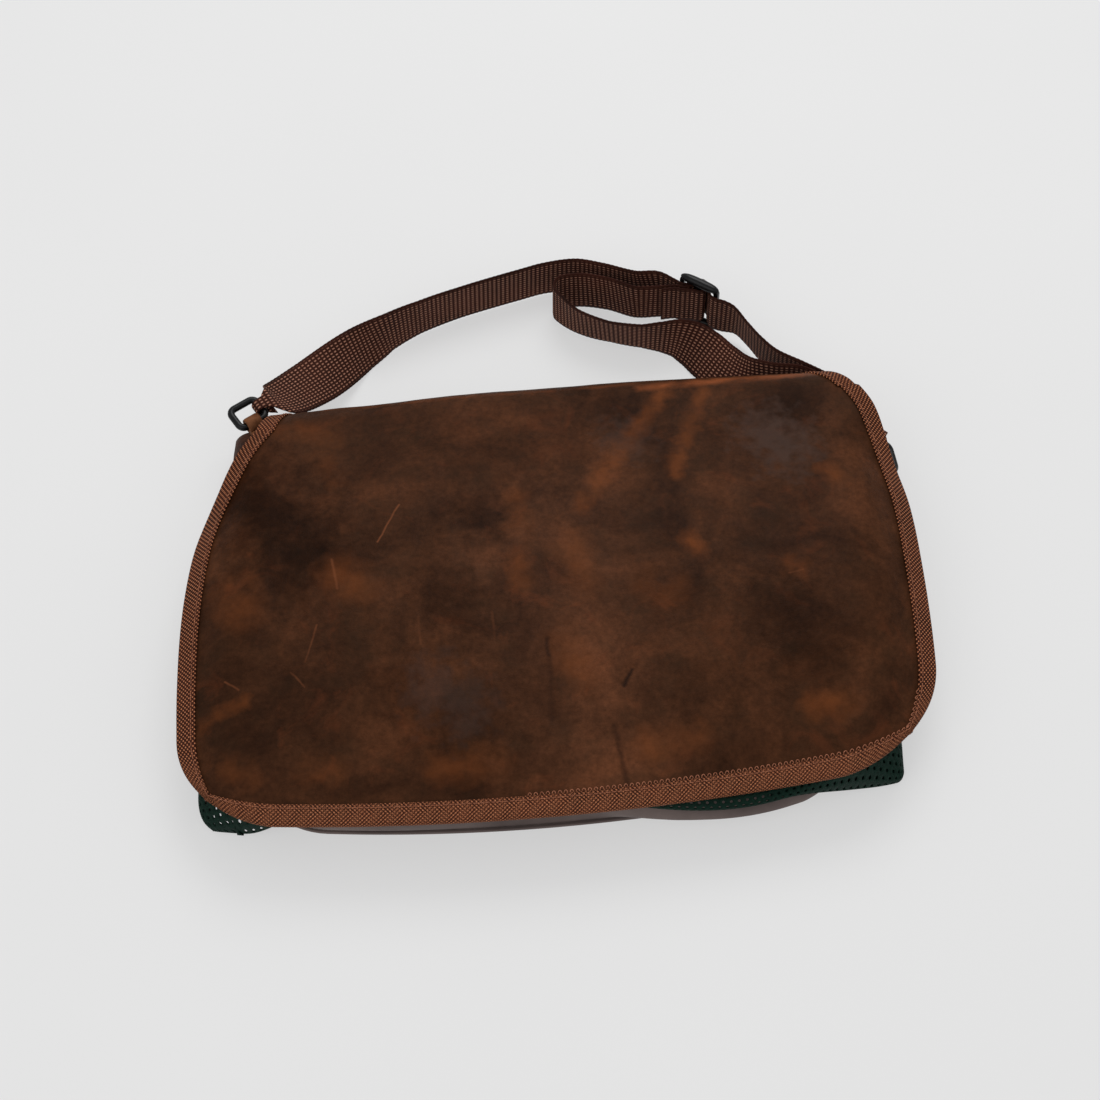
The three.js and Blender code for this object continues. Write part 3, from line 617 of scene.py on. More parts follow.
def pocket_rows(wall, wall_count, even_count):
    """Rows across a pocket: even rows down its front, then its bottom wall."""
    inset, height = wall_section(wall, wall_count)
    even = np.linspace(0, 1, even_count + 1)[:-1]
    return {
        "front": np.repeat([True, False], [even_count, wall_count])[:, None],
        "inset": np.concatenate([np.zeros(even_count), inset[::-1]])[:, None],
        "height": np.concatenate([np.ones(even_count), height[::-1]])[:, None],
        "share": np.concatenate([even, np.ones(wall_count)])[:, None],
    }


def settled(step, other):
    """Insets of one wall, kept from swelling where the other wall ends it lower down."""
    held = np.maximum(step["inset"], CORNER_HOLD * step["height"])
    return np.where(step["height"] > other["height"], held, step["inset"] + 0 * other["inset"])


def pocket_frame(wall, counts):
    """Lines and rows of a pocket, the settled insets of both, and the height where they cross."""
    lines = pocket_lines(wall, counts["wall"], counts["across"])
    rows = pocket_rows(wall, counts["wall"], counts["down"])
    height = np.minimum(lines["height"], rows["height"])
    return lines, rows, settled(lines, rows), settled(rows, lines), height


def across_pocket(lines, inset, left, right, flat):
    middle = mix(flat - left, right - flat, lines["share"])
    return np.where(lines["side"] < 0, inset - left, np.where(lines["side"] > 0, right - inset, middle))


def pouch_grid():
    """Outer face of the pouch."""
    rim = HIDE + CLEAR
    flat = POUCH_WALL["inset"][-1]
    lines, rows, line_inset, row_inset, height = pocket_frame(POUCH_WALL, POUCH_COUNTS)
    reach_left = along(POUCH_SIDE, "left", MOUTH_Y)
    reach_right = along(POUCH_SIDE, "right", MOUTH_Y)
    mouth_x = across_pocket(lines, line_inset, reach_left, reach_right, flat)
    ear_y = by_side(mouth_x, EARS["left"], EARS["right"])
    mouth = mix(MOUTH_Y, ear_y, ease(np.abs(mouth_x), EAR_START, EAR_RISE_END))
    y = np.where(rows["front"], mix(mouth, POUCH_BOTTOM + flat, rows["share"]), POUCH_BOTTOM + row_inset)
    x = across_pocket(lines, line_inset, along(POUCH_SIDE, "left", y), along(POUCH_SIDE, "right", y), flat)
    reach = pouch_reach(x, y)
    swell = np.where(rows["front"], 0, bottom_swell(x) * np.sin(math.pi * height))
    round_x, round_y = round_corner(x, y, reach, POUCH_BOTTOM, POUCH_CORNER)
    bow = bowed(round_x, round_y, reach, POUCH_BOTTOM, POUCH_BOW)
    top = belly_height(round_x, round_y)
    return np.stack([round_x, round_y + bow - swell, rim + (top - rim) * height], -1)


def net_tip(x, column):
    return by_side(x, NET_TIPS["left"][column], NET_TIPS["right"][column])


def net_grid():
    """Outer face of the net pocket."""
    flat = NET_WALL["inset"][-1]
    stand_off = POUCH_BULGE + 2 * CLEAR + NET
    lines, rows, line_inset, row_inset, height = pocket_frame(NET_WALL, NET_COUNTS)
    flat_end = NET_BOTTOM + flat
    y = np.where(rows["front"], mix(NET_TOP, flat_end, rows["share"]), NET_BOTTOM + row_inset) + 0 * height
    near = ease(y, *NET_FLARE_SPAN)
    hand = lines["share"] - 0.5 + 0 * height
    half = pouch_reach(hand, y) + stand_off + net_tip(hand, "flare") * near
    tuck = net_tip(hand, "tuck") * near * (1 - height) ** 2
    x = across_pocket(lines, line_inset, half, half, flat) - lines["side"] * tuck
    round_x, round_y = round_corner(x, y, half, NET_BOTTOM, net_tip(hand, "radius"))
    swelling = np.where(rows["front"], np.clip((flat_end + NET_ROW - y) / NET_ROW, 0, 1), 1)
    swell = swelling * np.maximum(0, bottom_swell(x))
    bow = bowed(round_x, round_y, pouch_reach(hand, y), NET_BOTTOM, POUCH_BOW) - swell
    tip_share = np.exp(-((np.hypot(np.abs(round_x) - half, round_y - NET_BOTTOM) / NET_TIP_SIZE) ** 2))
    middle = (1 - ease(np.abs(round_x), *NET_BELLY_ACROSS)) * ease(round_y, *NET_BELLY_DOWN)
    top = (belly_height(round_x, round_y) + NET_LIFT + NET_BELLY * middle) * (1 - NET_TIP_FALL * tip_share)
    drop = ease(np.abs(round_x), net_tip(hand, "drop_from"), NET_DROP_END)
    climb = ease(round_y, *NET_SIDE_SPAN)
    low_rim = mix(NET_RIM_MIDDLE, NET_RIM_TIP, drop)
    side_rim = mix(NET_RIM_TIP, NET_RIM_SIDE, climb)
    rim = np.where(rows["front"], side_rim, low_rim)
    hang = net_tip(hand, "hang") * tip_share
    return np.stack([round_x, round_y + bow - hang, rim + (top - rim) * height], -1)


# Flap as a function of its plan

def flap_reach(x, y):
    return by_side(x, along(FLAP_RUN, "left", y), along(FLAP_RUN, "right", y))


def flap_height(x, y):
    loose = ease(y, FOLD_Y, SAG_FULL_Y)
    over = np.maximum(0, (np.abs(x) - FLAP_SHOULDER) / (flap_reach(x, y) - FLAP_SHOULDER))
    return along(FLAP_RUN, "rise", y) - loose * (crown(x) + FLAP_SAG * over * over)


def flap_run(x, y):
    """Points of the flap's run down the front."""
    reach = flap_reach(x, y)
    radius = by_side(x, FLAP_CORNERS["left"], FLAP_CORNERS["right"])
    round_x, round_y = round_corner(x, y, reach, FLAP_END, radius)
    bow_y = round_y + bowed(round_x, round_y, reach, FLAP_END, FLAP_BOW)
    return np.stack([round_x, bow_y, flap_height(round_x, bow_y)], -1)


def fold_reach(side, degrees):
    flare = ease(degrees, 0, FLARE_DEGREES)
    return mix(NECK_HALF, along(FLAP_RUN, side, FOLD_Y), flare)


def flap_fold(x, degrees):
    """Points of the flap's round fold over the top."""
    angle = np.radians(degrees)
    radius = FOLD_RADIUS + FOLD_BULGE * np.maximum(0, 1 - (x / NECK_HALF) ** 2)
    z = HIDE + CLEAR + FOLD_RADIUS * (1 + np.sin(angle))
    return np.stack([x, FOLD_Y + radius * np.cos(angle), z + 0 * x], -1)


def flap_grid(columns, fold_rows, run_rows):
    """Outer face of the flap, from the sewn root round the fold to the lower edge."""
    share = np.linspace(0, 1, columns)[None, :]
    root_y = np.linspace(ROOT_Y, FOLD_Y, 8)[:-1, None]
    root_half = mix(ROOT_HALF, NECK_HALF, np.clip((root_y - NECK_FROM) / (FOLD_Y - NECK_FROM), 0, 1))
    root_x = mix(-root_half, root_half, share)
    root = np.stack([root_x, root_y + 0 * root_x, HIDE + CLEAR + 0 * root_x], -1)
    degrees = np.linspace(-90, 90, fold_rows)[:-1, None]
    fold = flap_fold(mix(-fold_reach("left", degrees), fold_reach("right", degrees), share), degrees)
    y = np.linspace(FOLD_Y, FLAP_END, run_rows)[:, None]
    x = mix(-along(FLAP_RUN, "left", y), along(FLAP_RUN, "right", y), share)
    return np.concatenate([root, fold, flap_run(x, y + 0 * x)])


def marks_of_kind(kind):
    return [mark[1:] for mark in FLAP_MARKS if mark[0] == kind]


def mark_strength(kind, x, y):
    """How strongly each point carries a kind of mark."""
    strength = np.zeros_like(x)
    for from_x, from_y, to_x, to_y, half, _ in marks_of_kind(kind):
        run_x = to_x - from_x
        run_y = to_y - from_y
        share = ((x - from_x) * run_x + (y - from_y) * run_y) / (run_x**2 + run_y**2)
        share = np.clip(share, 0, 1)
        away = np.hypot(x - from_x - share * run_x, y - from_y - share * run_y)
        strength = np.maximum(strength, np.exp(-((away / half) ** 2)))
    return strength


# Materials

def new_material(name):
    """Material with its node tree and main shader."""
    material = bpy.data.materials.new(name)
    material.use_nodes = True
    shader = material.node_tree.nodes["Principled BSDF"]
    return material, material.node_tree, shader


def add_node(tree, kind, **settings):
    """Node of a kind; settings name its properties, or its inputs by their label."""
    node = tree.nodes.new(kind)
    for key, value in settings.items():
        label = key.replace("_", " ").title()
        if label in node.inputs:
            node.inputs[label].default_value = value
        else:
            setattr(node, key, value)
    return node


def feed(tree, source, socket):
    """Sets a socket from another socket or from a plain value."""
    if isinstance(source, bpy.types.NodeSocket):
        tree.links.new(source, socket)
    else:
        socket.default_value = source


def math_node(tree, operation, first, second=0.0):
    node = add_node(tree, "ShaderNodeMath", operation=operation)
    feed(tree, first, node.inputs[0])
    feed(tree, second, node.inputs[1])
    return node.outputs[0]


def times(tree, first, second):
    return math_node(tree, "MULTIPLY", first, second)


def object_place(tree):
    """Coordinates of the object itself, in metres."""
    return add_node(tree, "ShaderNodeTexCoord").outputs["Object"]


def parts_of(tree, place):
    """The x, y and z of a place."""
    node = add_node(tree, "ShaderNodeSeparateXYZ")
    tree.links.new(place, node.inputs[0])
    return node.outputs


def mix_colour(tree, share, first, second, blend="MIX"):
    node = add_node(tree, "ShaderNodeMix", data_type="RGBA", blend_type=blend)
    feed(tree, share, node.inputs[0])
    feed(tree, first, node.inputs[6])
    feed(tree, second, node.inputs[7])
    return node.outputs[2]


def noise(tree, scale, detail=4.0, roughness=0.55, distortion=0.0):
    """Noise over the object's own coordinates, in bumps per metre."""
    node = add_node(tree, "ShaderNodeTexNoise", scale=scale, detail=detail, roughness=roughness,
                    distortion=distortion)
    tree.links.new(object_place(tree), node.inputs["Vector"])
    return node.outputs["Fac"]


def cells(tree, scale):
    """Distance to the nearest of scattered points, for leather grain."""
    node = add_node(tree, "ShaderNodeTexVoronoi", scale=scale)
    tree.links.new(object_place(tree), node.inputs["Vector"])
    return node.outputs["Distance"]


def ramp(tree, value, *stops):
    """Colours along a value; each stop is a place and a colour."""
    node = add_node(tree, "ShaderNodeValToRGB")
    elements = node.color_ramp.elements
    for element, (place, colour) in zip(elements, (stops[0], stops[-1])):
        element.position = place
        element.color = colour
    for place, colour in stops[1:-1]:
        elements.new(place).color = colour
    feed(tree, value, node.inputs[0])
    return node.outputs[0]


def stretch(tree, value, low, high):
    """Value from low to high spread over 0 to 1."""
    node = add_node(tree, "ShaderNodeMapRange")
    feed(tree, value, node.inputs["Value"])
    node.inputs["From Min"].default_value = low
    node.inputs["From Max"].default_value = high
    return node.outputs[0]


def vector_node(tree, operation, first, second=(0, 0, 0)):
    node = add_node(tree, "ShaderNodeVectorMath", operation=operation)
    feed(tree, first, node.inputs[0])
    feed(tree, second, node.inputs[1])
    is_number = operation in ("DOT_PRODUCT", "LENGTH")
    return node.outputs["Value" if is_number else "Vector"]


def marks_of(tree, kind, wobble):
    """Strength of one kind of mark over the flap, along lines that wobble a little, in metres."""
    place = object_place(tree)
    drift = add_node(tree, "ShaderNodeTexNoise", scale=130.0, detail=3.0)
    tree.links.new(place, drift.inputs["Vector"])
    shift = vector_node(tree, "SUBTRACT", drift.outputs["Color"], (0.5, 0.5, 0.5))
    shift = vector_node(tree, "MULTIPLY", shift, (wobble, wobble, 0))
    plan = vector_node(tree, "MULTIPLY", vector_node(tree, "ADD", place, shift), (1, 1, 0))
    strength = 0.0
    for from_x, from_y, to_x, to_y, half, depth in marks_of_kind(kind):
        start = Vector((from_x, from_y, 0)) * MM
        run = Vector((to_x, to_y, 0)) * MM - start
        offset = vector_node(tree, "SUBTRACT", plan, start)
        share = vector_node(tree, "DOT_PRODUCT", offset, run)
        share = times(tree, share, 1 / run.length_squared)
        share.node.use_clamp = True
        reached = add_node(tree, "ShaderNodeVectorMath", operation="SCALE")
        reached.inputs[0].default_value = run
        tree.links.new(share, reached.inputs["Scale"])
        away = vector_node(tree, "LENGTH", vector_node(tree, "SUBTRACT", offset, reached.outputs[0]))
        near = times(tree, stretch(tree, away, half * MM, 0.15 * half * MM), depth)
        strength = math_node(tree, "MAXIMUM", strength, near)
    return strength


def bump(tree, height, distance, under=None):
    """Bump of that height, in metres, over another bump."""
    node = add_node(tree, "ShaderNodeBump", distance=distance)
    feed(tree, height, node.inputs["Height"])
    if under is not None:
        tree.links.new(under, node.inputs["Normal"])
    return node.outputs["Normal"]


def srgb(red, green, blue):
    """Linear colour from the values of a picture, 0 to 255."""
    shares = (red / 255, green / 255, blue / 255)
    linear = [s / 12.92 if s <= 0.04045 else ((s + 0.055) / 1.055) ** 2.4 for s in shares]
    return (*linear, 1.0)


# Tints of the flap's marks: kind, wobble in metres, colour, blend, share where the mark is ragged
MARK_TINTS = (
    ("pale", 0.05, (1.75, 1.78, 1.95, 1), "MULTIPLY", None),
    ("dark", 0.05, (0.36, 0.32, 0.26, 1), "MULTIPLY", None),
    # Painted sheen: greyish patches
    ("painted_sheen", 0.05, srgb(74, 58, 52), "MIX", None),
    ("rust", 0.012, srgb(122, 66, 32), "MIX", 0.7),
    # Painted shade in the creases
    ("shaded_crease", 0.004, srgb(30, 18, 13), "MIX", None),
    ("scratch", 0.0015, srgb(130, 76, 48), "MIX", 1.0),
    # Painted highlight along the top of the fold
    ("fold_highlight", 0.006, srgb(140, 76, 42), "MIX", 1.0),
)


def dress(tree, shader, colour, normal, roughness, shine):
    """Feeds the shader's main inputs from sockets or plain values."""
    feed(tree, colour, shader.inputs["Base Color"])
    feed(tree, normal, shader.inputs["Normal"])
    feed(tree, roughness, shader.inputs["Roughness"])
    shader.inputs["Specular IOR Level"].default_value = shine


def uneven(tree, middle, spread, scale):
    """Roughness that varies about a middle value."""
    share = stretch(tree, noise(tree, scale, 4.0), 0.2, 0.8)
    rough = math_node(tree, "MULTIPLY_ADD", share, spread)
    rough.node.inputs[2].default_value = middle - spread / 2
    return rough


def leather_material(name, dark, middle, light, patch_scale=26.0, roughness=0.5):
    """Leather with broad smoky patches, fine mottling and a close grain."""
    material, tree, shader = new_material(name)
    patches = noise(tree, patch_scale, 5.0, 0.58, 0.7)
    colour = ramp(tree, patches, (0.32, dark), (0.50, middle), (0.68, light))
    mottle = noise(tree, 300.0, 6.0, 0.72)
    speck = ramp(tree, mottle, (0.3, (0.70, 0.70, 0.69, 1)), (0.7, (1.28, 1.26, 1.24, 1)))
    colour = mix_colour(tree, 1.0, colour, speck, "MULTIPLY")
    grain = bump(tree, cells(tree, 1500.0), 0.00008)
    wrinkle = bump(tree, noise(tree, 170.0, 5.0, 0.6), 0.0004, grain)
    dress(tree, shader, colour, wrinkle, uneven(tree, roughness, 0.16, 90.0), 0.03)
    return material, tree, shader, colour


def flap_material():
    """Oiled leather with rust streaks, dark patches, scratches, greyish patches of painted sheen, creases
    with painted shade along them and a painted highlight along the top of the fold.
    """
    material, tree, shader, colour = leather_material(
        "oiled_leather", srgb(46, 26, 15), srgb(63, 37, 22), srgb(82, 48, 29), 20.0, 0.46)
    ragged = stretch(tree, noise(tree, 45.0, 4.0, 0.55), 0.28, 0.62)
    green = stretch(tree, noise(tree, 40.0, 5.0, 0.6), 0.50, 0.68)
    colour = mix_colour(tree, times(tree, green, 0.35), colour, srgb(44, 31, 20))
    rust_patch = stretch(tree, noise(tree, 34.0, 6.0, 0.64, 1.0), 0.56, 0.74)
    colour = mix_colour(tree, times(tree, rust_patch, 0.35), colour, srgb(104, 54, 30))
    for kind, wobble, tint, blend, ragged_share in MARK_TINTS:
        strength = marks_of(tree, kind, wobble)
        if ragged_share is not None:
            strength = times(tree, times(tree, strength, ragged), ragged_share)
        colour = mix_colour(tree, strength, colour, tint, blend)
    tree.links.new(colour, shader.inputs["Base Color"])
    return material


def pouch_material():
    """Smooth leather, greyer and paler towards the bottom of the bag: a painted sheen on the bottom."""
    material, tree, shader, colour = leather_material(
        "pouch_leather", srgb(52, 32, 24), srgb(68, 42, 31), srgb(84, 54, 40), 20.0, 0.5)
    # Painted sheen: the bottom of the pouch turns greyer and paler
    low = stretch(tree, parts_of(tree, object_place(tree))[1], 0.0, -0.1)
    pale = ramp(tree, noise(tree, 20.0, 5.0, 0.58), (0.3, srgb(86, 76, 74)), (0.7, srgb(116, 103, 99)))
    tree.links.new(mix_colour(tree, low, colour, pale), shader.inputs["Base Color"])
    return material


def weave_places(tree):
    """Places along and across a woven piece, in metres."""
    uv = add_node(tree, "ShaderNodeUVMap", uv_map="weave")
    u, v, _ = parts_of(tree, uv.outputs[0])
    return u, v


def wave(tree, place, pitch):
    """Smooth wave from 0 to 1 with that pitch, in metres."""
    turn = times(tree, place, 2 * math.pi / pitch)
    return stretch(tree, math_node(tree, "COSINE", turn), -1.0, 1.0)


def webbing_material():
    """Brown webbing: cross ribs, each a row of bead-like yarns, between smooth edges; the light colour of
    the beads is a painted highlight, the dark between them painted shade.
    """
    material, tree, shader = new_material("webbing")
    u, v = weave_places(tree)
    rib = wave(tree, u, WEB_RIB * MM)
    bead = wave(tree, v, WEB_BEAD * MM)
    half = WEB_WIDTH / 2
    inside = stretch(tree, math_node(tree, "ABSOLUTE", v), (half - 1.0) * MM, (half - 2.0) * MM)
    raised = times(tree, stretch(tree, rib, 0.15, 0.85), stretch(tree, bead, 0.3, 0.95))
    raised = times(tree, raised, inside)
    fibre = noise(tree, 2600.0, 3.0, 0.6)
    tone = noise(tree, 35.0, 4.0, 0.6)
    # The light yarn colour on the raised beads is a painted highlight; the dark base between the ribs is
    # painted shade
    base = ramp(tree, tone, (0.3, srgb(36, 16, 10)), (0.7, srgb(60, 28, 19)))
    yarn = ramp(tree, fibre, (0.3, srgb(150, 96, 74)), (0.7, srgb(220, 164, 138)))
    colour = mix_colour(tree, times(tree, raised, 0.85), base, yarn)
    lump = bump(tree, raised, 0.0005)
    dress(tree, shader, colour, bump(tree, fibre, 0.0002, lump), 0.72, 0.08)
    return material


def tape_material():
    """Brown woven tape: rows of offset light dots, with faint slanted lines along the lower edge; the light
    dots and lines are painted highlights on the yarns, the dark between them painted shade.
    """
    material, tree, shader = new_material("binding_tape")
    u, v = weave_places(tree)
    from_middle = math_node(tree, "ABSOLUTE", math_node(tree, "SUBTRACT", v, BINDING_WIDTH / 2 * MM))
    slant = math_node(tree, "ADD", u, from_middle)
    rib = wave(tree, slant, RIB_PITCH * MM)
    yarn = wave(tree, math_node(tree, "SUBTRACT", u, from_middle), DOT_LENGTH * MM)
    chevron = times(tree, stretch(tree, rib, 0.2, 0.9), stretch(tree, yarn, -0.4, 0.9))
    turn_u = math_node(tree, "COSINE", times(tree, u, math.pi / (DOT_LENGTH * MM)))
    turn_v = math_node(tree, "COSINE", times(tree, v, math.pi / (DOT_WIDTH * MM)))
    dots = stretch(tree, times(tree, turn_u, turn_v), 0.05, 0.75)
    y = parts_of(tree, object_place(tree))[1]
    low = times(tree, stretch(tree, y, CHEVRON_FROM * MM, CHEVRON_TO * MM), 0.35)
    raised = add_node(tree, "ShaderNodeMix")
    feed(tree, low, raised.inputs[0])
    feed(tree, dots, raised.inputs[2])
    feed(tree, chevron, raised.inputs[3])
    raised = raised.outputs[0]
    fibre = noise(tree, 2400.0, 3.0, 0.6)
    tone = noise(tree, 60.0, 4.0, 0.6)
    # The light colour on the dots and chevrons is a painted highlight; the dark base between them is painted
    # shade
    base = ramp(tree, tone, (0.3, srgb(38, 16, 9)), (0.7, srgb(64, 29, 18)))
    light = ramp(tree, fibre, (0.3, srgb(158, 86, 54)), (0.7, srgb(232, 158, 114)))
    colour = mix_colour(tree, times(tree, raised, 0.9), base, light)
    lump = bump(tree, raised, 0.0004)
    dress(tree, shader, colour, bump(tree, fibre, 0.0002, lump), 0.75, 0.08)
    return material


def yarn_material(name, dark, light, scale=900.0):
    """Plain thread or net yarn with a little variation."""
    material, tree, shader = new_material(name)
    colour = ramp(tree, noise(tree, scale, 4.0, 0.6), (0.3, dark), (0.7, light))
    dress(tree, shader, colour, bump(tree, noise(tree, 3200.0, 2.0), 0.0002), 0.7, 0.1)
    return material


def black_material(name, roughness):
    """Black enamel or plastic with faint wear and smudges."""
    material, tree, shader = new_material(name)
    colour = ramp(tree, noise(tree, 160.0, 5.0, 0.6), (0.35, srgb(8, 8, 10)), (0.75, srgb(20, 19, 20)))
    relief = bump(tree, noise(tree, 700.0, 3.0), 0.00006)
    dress(tree, shader, colour, relief, uneven(tree, roughness, 0.18, 240.0), 0.22)
    return material


LEATHER = flap_material()
POUCH_LEATHER = pouch_material()
TAB_LEATHER = leather_material(
    "tab_leather", srgb(76, 46, 29), srgb(98, 61, 39), srgb(120, 78, 52), 60.0, 0.5)[0]
WEBBING = webbing_material()
BINDING = tape_material()
NET_YARN = yarn_material("net_yarn", srgb(7, 24, 18), srgb(16, 45, 35))
THREAD = yarn_material("thread", srgb(120, 70, 50), srgb(182, 122, 94))
ENAMEL = black_material("black_enamel", 0.3)
PLASTIC = black_material("black_plastic", 0.22)


# Flap leather

def build_flap():
    grid = flap_grid(FLAP_COLUMNS, FLAP_FOLD_ROWS, FLAP_RUN_ROWS)
    normals = grid_normals(grid)
    x = grid[..., 0]
    y = grid[..., 1]
    from_left = np.abs(x + along(FLAP_RUN, "left", y))
    from_right = np.abs(along(FLAP_RUN, "right", y) - x)
    from_end = np.abs(y - FLAP_END - bowed(x, y, flap_reach(x, y), FLAP_END, FLAP_BOW))
    edge = np.minimum(np.minimum(from_left, from_right), from_end)
    free = ease(grid[..., 2], *RELIEF_HEIGHT) * ease(edge, *RELIEF_EDGE)
    skew_x = x + SKEW * (y - SKEW_Y)
    relief = sum(height * (1 + soft_noise(x, y, size, seed)) for height, size, seed in FLAP_RELIEF)
    relief = relief - CREASE_DEPTH * mark_strength("shaded_crease", skew_x, y)
    outside = grid + normals * (relief * free)[..., None]
    behind = grid - normals * HIDE
    build_sheet("flap_leather", outside, behind, LEATHER, "leather", "flap")


# Binding tape over the flap's edge

def binding_band(step, lines):
    """Flap points under the tape: stations along the edge, each with points inward over its width."""
    inward = np.linspace(0, BINDING_WIDTH, lines)[None, :]
    degrees = np.linspace(BINDING_FROM, 90, 60)[:-1, None]
    down = np.linspace(FOLD_Y, FLAP_END, int((FOLD_Y - FLAP_END) / step))[:, None]
    low = FLAP_END + BINDING_WIDTH
    left_fold = flap_fold(inward - fold_reach("left", degrees), degrees)
    right_fold = flap_fold(fold_reach("right", degrees) - inward, degrees)
    share = inward / BINDING_WIDTH
    down_in = mix(down, np.maximum(down, low), share)
    left_run = flap_run(inward - along(FLAP_RUN, "left", down), down_in)
    right_run = flap_run(along(FLAP_RUN, "right", down) - inward, down_in)
    left_end = -along(FLAP_RUN, "left", FLAP_END)
    right_end = along(FLAP_RUN, "right", FLAP_END)
    bottom = np.linspace(left_end, right_end, int((right_end - left_end) / step))[1:-1, None]
    bottom_in = mix(bottom, np.clip(bottom, left_end + BINDING_WIDTH, right_end - BINDING_WIDTH), share)
    bottom_run = flap_run(bottom_in, FLAP_END + inward + 0 * bottom)
    return np.concatenate([left_fold, left_run, bottom_run, right_run[::-1], right_fold[::-1]])


def build_binding():
    band = binding_band(BINDING_STEP, BINDING_LINES)
    run = unit(np.gradient(band[:, 0], axis=0))
    inward = unit(band[:, 1:2] - band[:, 0:1])
    normals = unit(np.cross(run[:, None], unit(np.gradient(band, axis=1))))
    outward = -inward[:, 0] + normals[:, 0] * np.sum(inward[:, 0] * normals[:, 0], -1, keepdims=True)
    outward = unit(outward)
    s = length_along(band[:, 0])
    turn = np.radians(np.linspace(90, -90, 7)[1:-1])

    def wrap(clear, lines):
        """Places of the tape's skin or lining: over the top, round the edge and back underneath."""
        over = band[:, lines] + normals[:, lines] * clear
        middle = band[:, 0] - normals[:, 0] * HIDE / 2
        lift = normals[:, :1] * np.sin(turn)[None, :, None]
        out = outward[:, None] * np.cos(turn)[None, :, None]
        edge = middle[:, None] + (HIDE / 2 + clear) * lift + clear * out
        under = band[:, lines[::-1]] - normals[:, lines[::-1]] * (HIDE + clear)
        return np.concatenate([over, edge, under], axis=1)

    last = BINDING_LINES - 1
    lines = np.arange(last, -1, -1)
    skin = wrap(BINDING_GAP + TAPE, lines)
    lining = wrap(BINDING_GAP, np.array([last, last // 2, 0]))[:, ::-1]
    widths = length_along(skin[0])
    chevron = np.abs(widths - BINDING_WIDTH / 2)
    low = ease(band[:, 0, 1], CHEVRON_FROM, CHEVRON_TO)[:, None]
    ribs = low * np.cos(2 * math.pi * (s[:, None] + chevron[None, :]) / RIB_PITCH)
    skin_normals = unit(np.cross(run[:, None], -np.gradient(skin, axis=1)))
    skin = skin + skin_normals * (RIB_HEIGHT * (ribs - 0.6))[..., None]
    sections = np.concatenate([skin, lining], axis=1)
    v = np.concatenate([widths, widths[-1] - np.linspace(0, widths[-1], lining.shape[1])])
    uv = np.stack(np.broadcast_arrays(s[:, None], v[None, :]), -1)
    faces = loft_faces(*sections.shape[:2])
    piece = make_piece("binding_tape", skewed(sections.reshape(-1, 3)), faces, BINDING, uv.reshape(-1, 2))
    place_piece(piece, "tape", "flap_binding")
    return band, normals, s


def build_stitches(band, normals, s):
    """Stitches through the tape near its inner edge, and loops of thread past it along the lower right."""
    parts = []
    lift = BINDING_GAP + TAPE + 0.1
    line = band[:, STITCH_LINE] + normals[:, STITCH_LINE] * lift
    inner = band[:, -1] + normals[:, -1] * lift
    inward = unit(band[:, -1] - band[:, STITCH_LINE])

    def read(places, values):
        return np.stack([np.interp(places, s, values[:, axis]) for axis in range(3)], -1)

    rise = np.array(STITCH_SHAPE["rise"])[:, None]
    turn = np.linspace(0, math.pi, LOOP_POINTS)
    for start in np.arange(STITCH_MARGIN, s[-1] - STITCH_MARGIN, STITCH_PITCH):
        places = start + np.array(STITCH_SHAPE["place"])
        middle = places[2]
        path = read(places, line) + read(places, normals[:, STITCH_LINE]) * rise
        parts.append(tube(path, STITCH_RADIUS, 6))
        centre = read(middle, inner)
        if centre[0] > LOOP_FROM_X and centre[1] < CHEVRON_FROM:
            sideways = read(middle + LOOP_HALF * np.cos(turn), inner)
            reach = LOOP_REACH * np.sin(turn)[:, None] * read(middle, inward)
            parts.append(tube(sideways + reach, LOOP_RADIUS, 6))
    points, faces = join_parts(parts)
    stitches = make_piece("binding_stitches", skewed(points), faces, THREAD)
    place_piece(stitches, "tape")


# Pouch, back panel and net

def build_pouch():
    grid = pouch_grid()
    normals = grid_normals(grid)
    height, size, seed = POUCH_RELIEF
    relief = height * soft_noise(grid[..., 0], grid[..., 1] + grid[..., 2], size, seed)
    outside = grid + normals * (np.minimum(relief, 0) * ease(grid[..., 2], 4, 12))[..., None]
    behind = outside - normals * HIDE
    behind[..., 2] = np.maximum(behind[..., 2], HIDE + CLEAR)
    build_sheet("pouch_leather", outside, behind, POUCH_LEATHER, "pouch_leather", "pouch")


def plate_shape(outlines, depth, bevel, axes, at):
    """Points and faces of a flat plate with rounded edges; outlines after the first are holes."""
    curve = bpy.data.curves.new("plate", "CURVE")
    curve.dimensions = "2D"
    curve.fill_mode = "BOTH"
    curve.extrude = depth / 2 - bevel
    curve.bevel_depth = bevel
    curve.bevel_resolution = 3
    curve.offset = -bevel
    for outline in outlines:
        spline = curve.splines.new("POLY")
        spline.points.add(len(outline) - 1)
        for point, (x, y) in zip(spline.points, outline):
            point.co = (x, y, 0, 1)
        spline.use_cyclic_u = True
    shape = bpy.data.objects.new("plate", curve)
    link(shape)
    depsgraph = bpy.context.evaluated_depsgraph_get()
    flat = bpy.data.meshes.new_from_object(shape.evaluated_get(depsgraph))
    points = np.empty(len(flat.vertices) * 3)
    flat.vertices.foreach_get("co", points)
    faces = [list(polygon.vertices) for polygon in flat.polygons]
    bpy.data.objects.remove(shape)
    bpy.data.curves.remove(curve)
    bpy.data.meshes.remove(flat)
    return points.reshape(-1, 3) @ np.asarray(axes, float) + np.asarray(at, float), faces


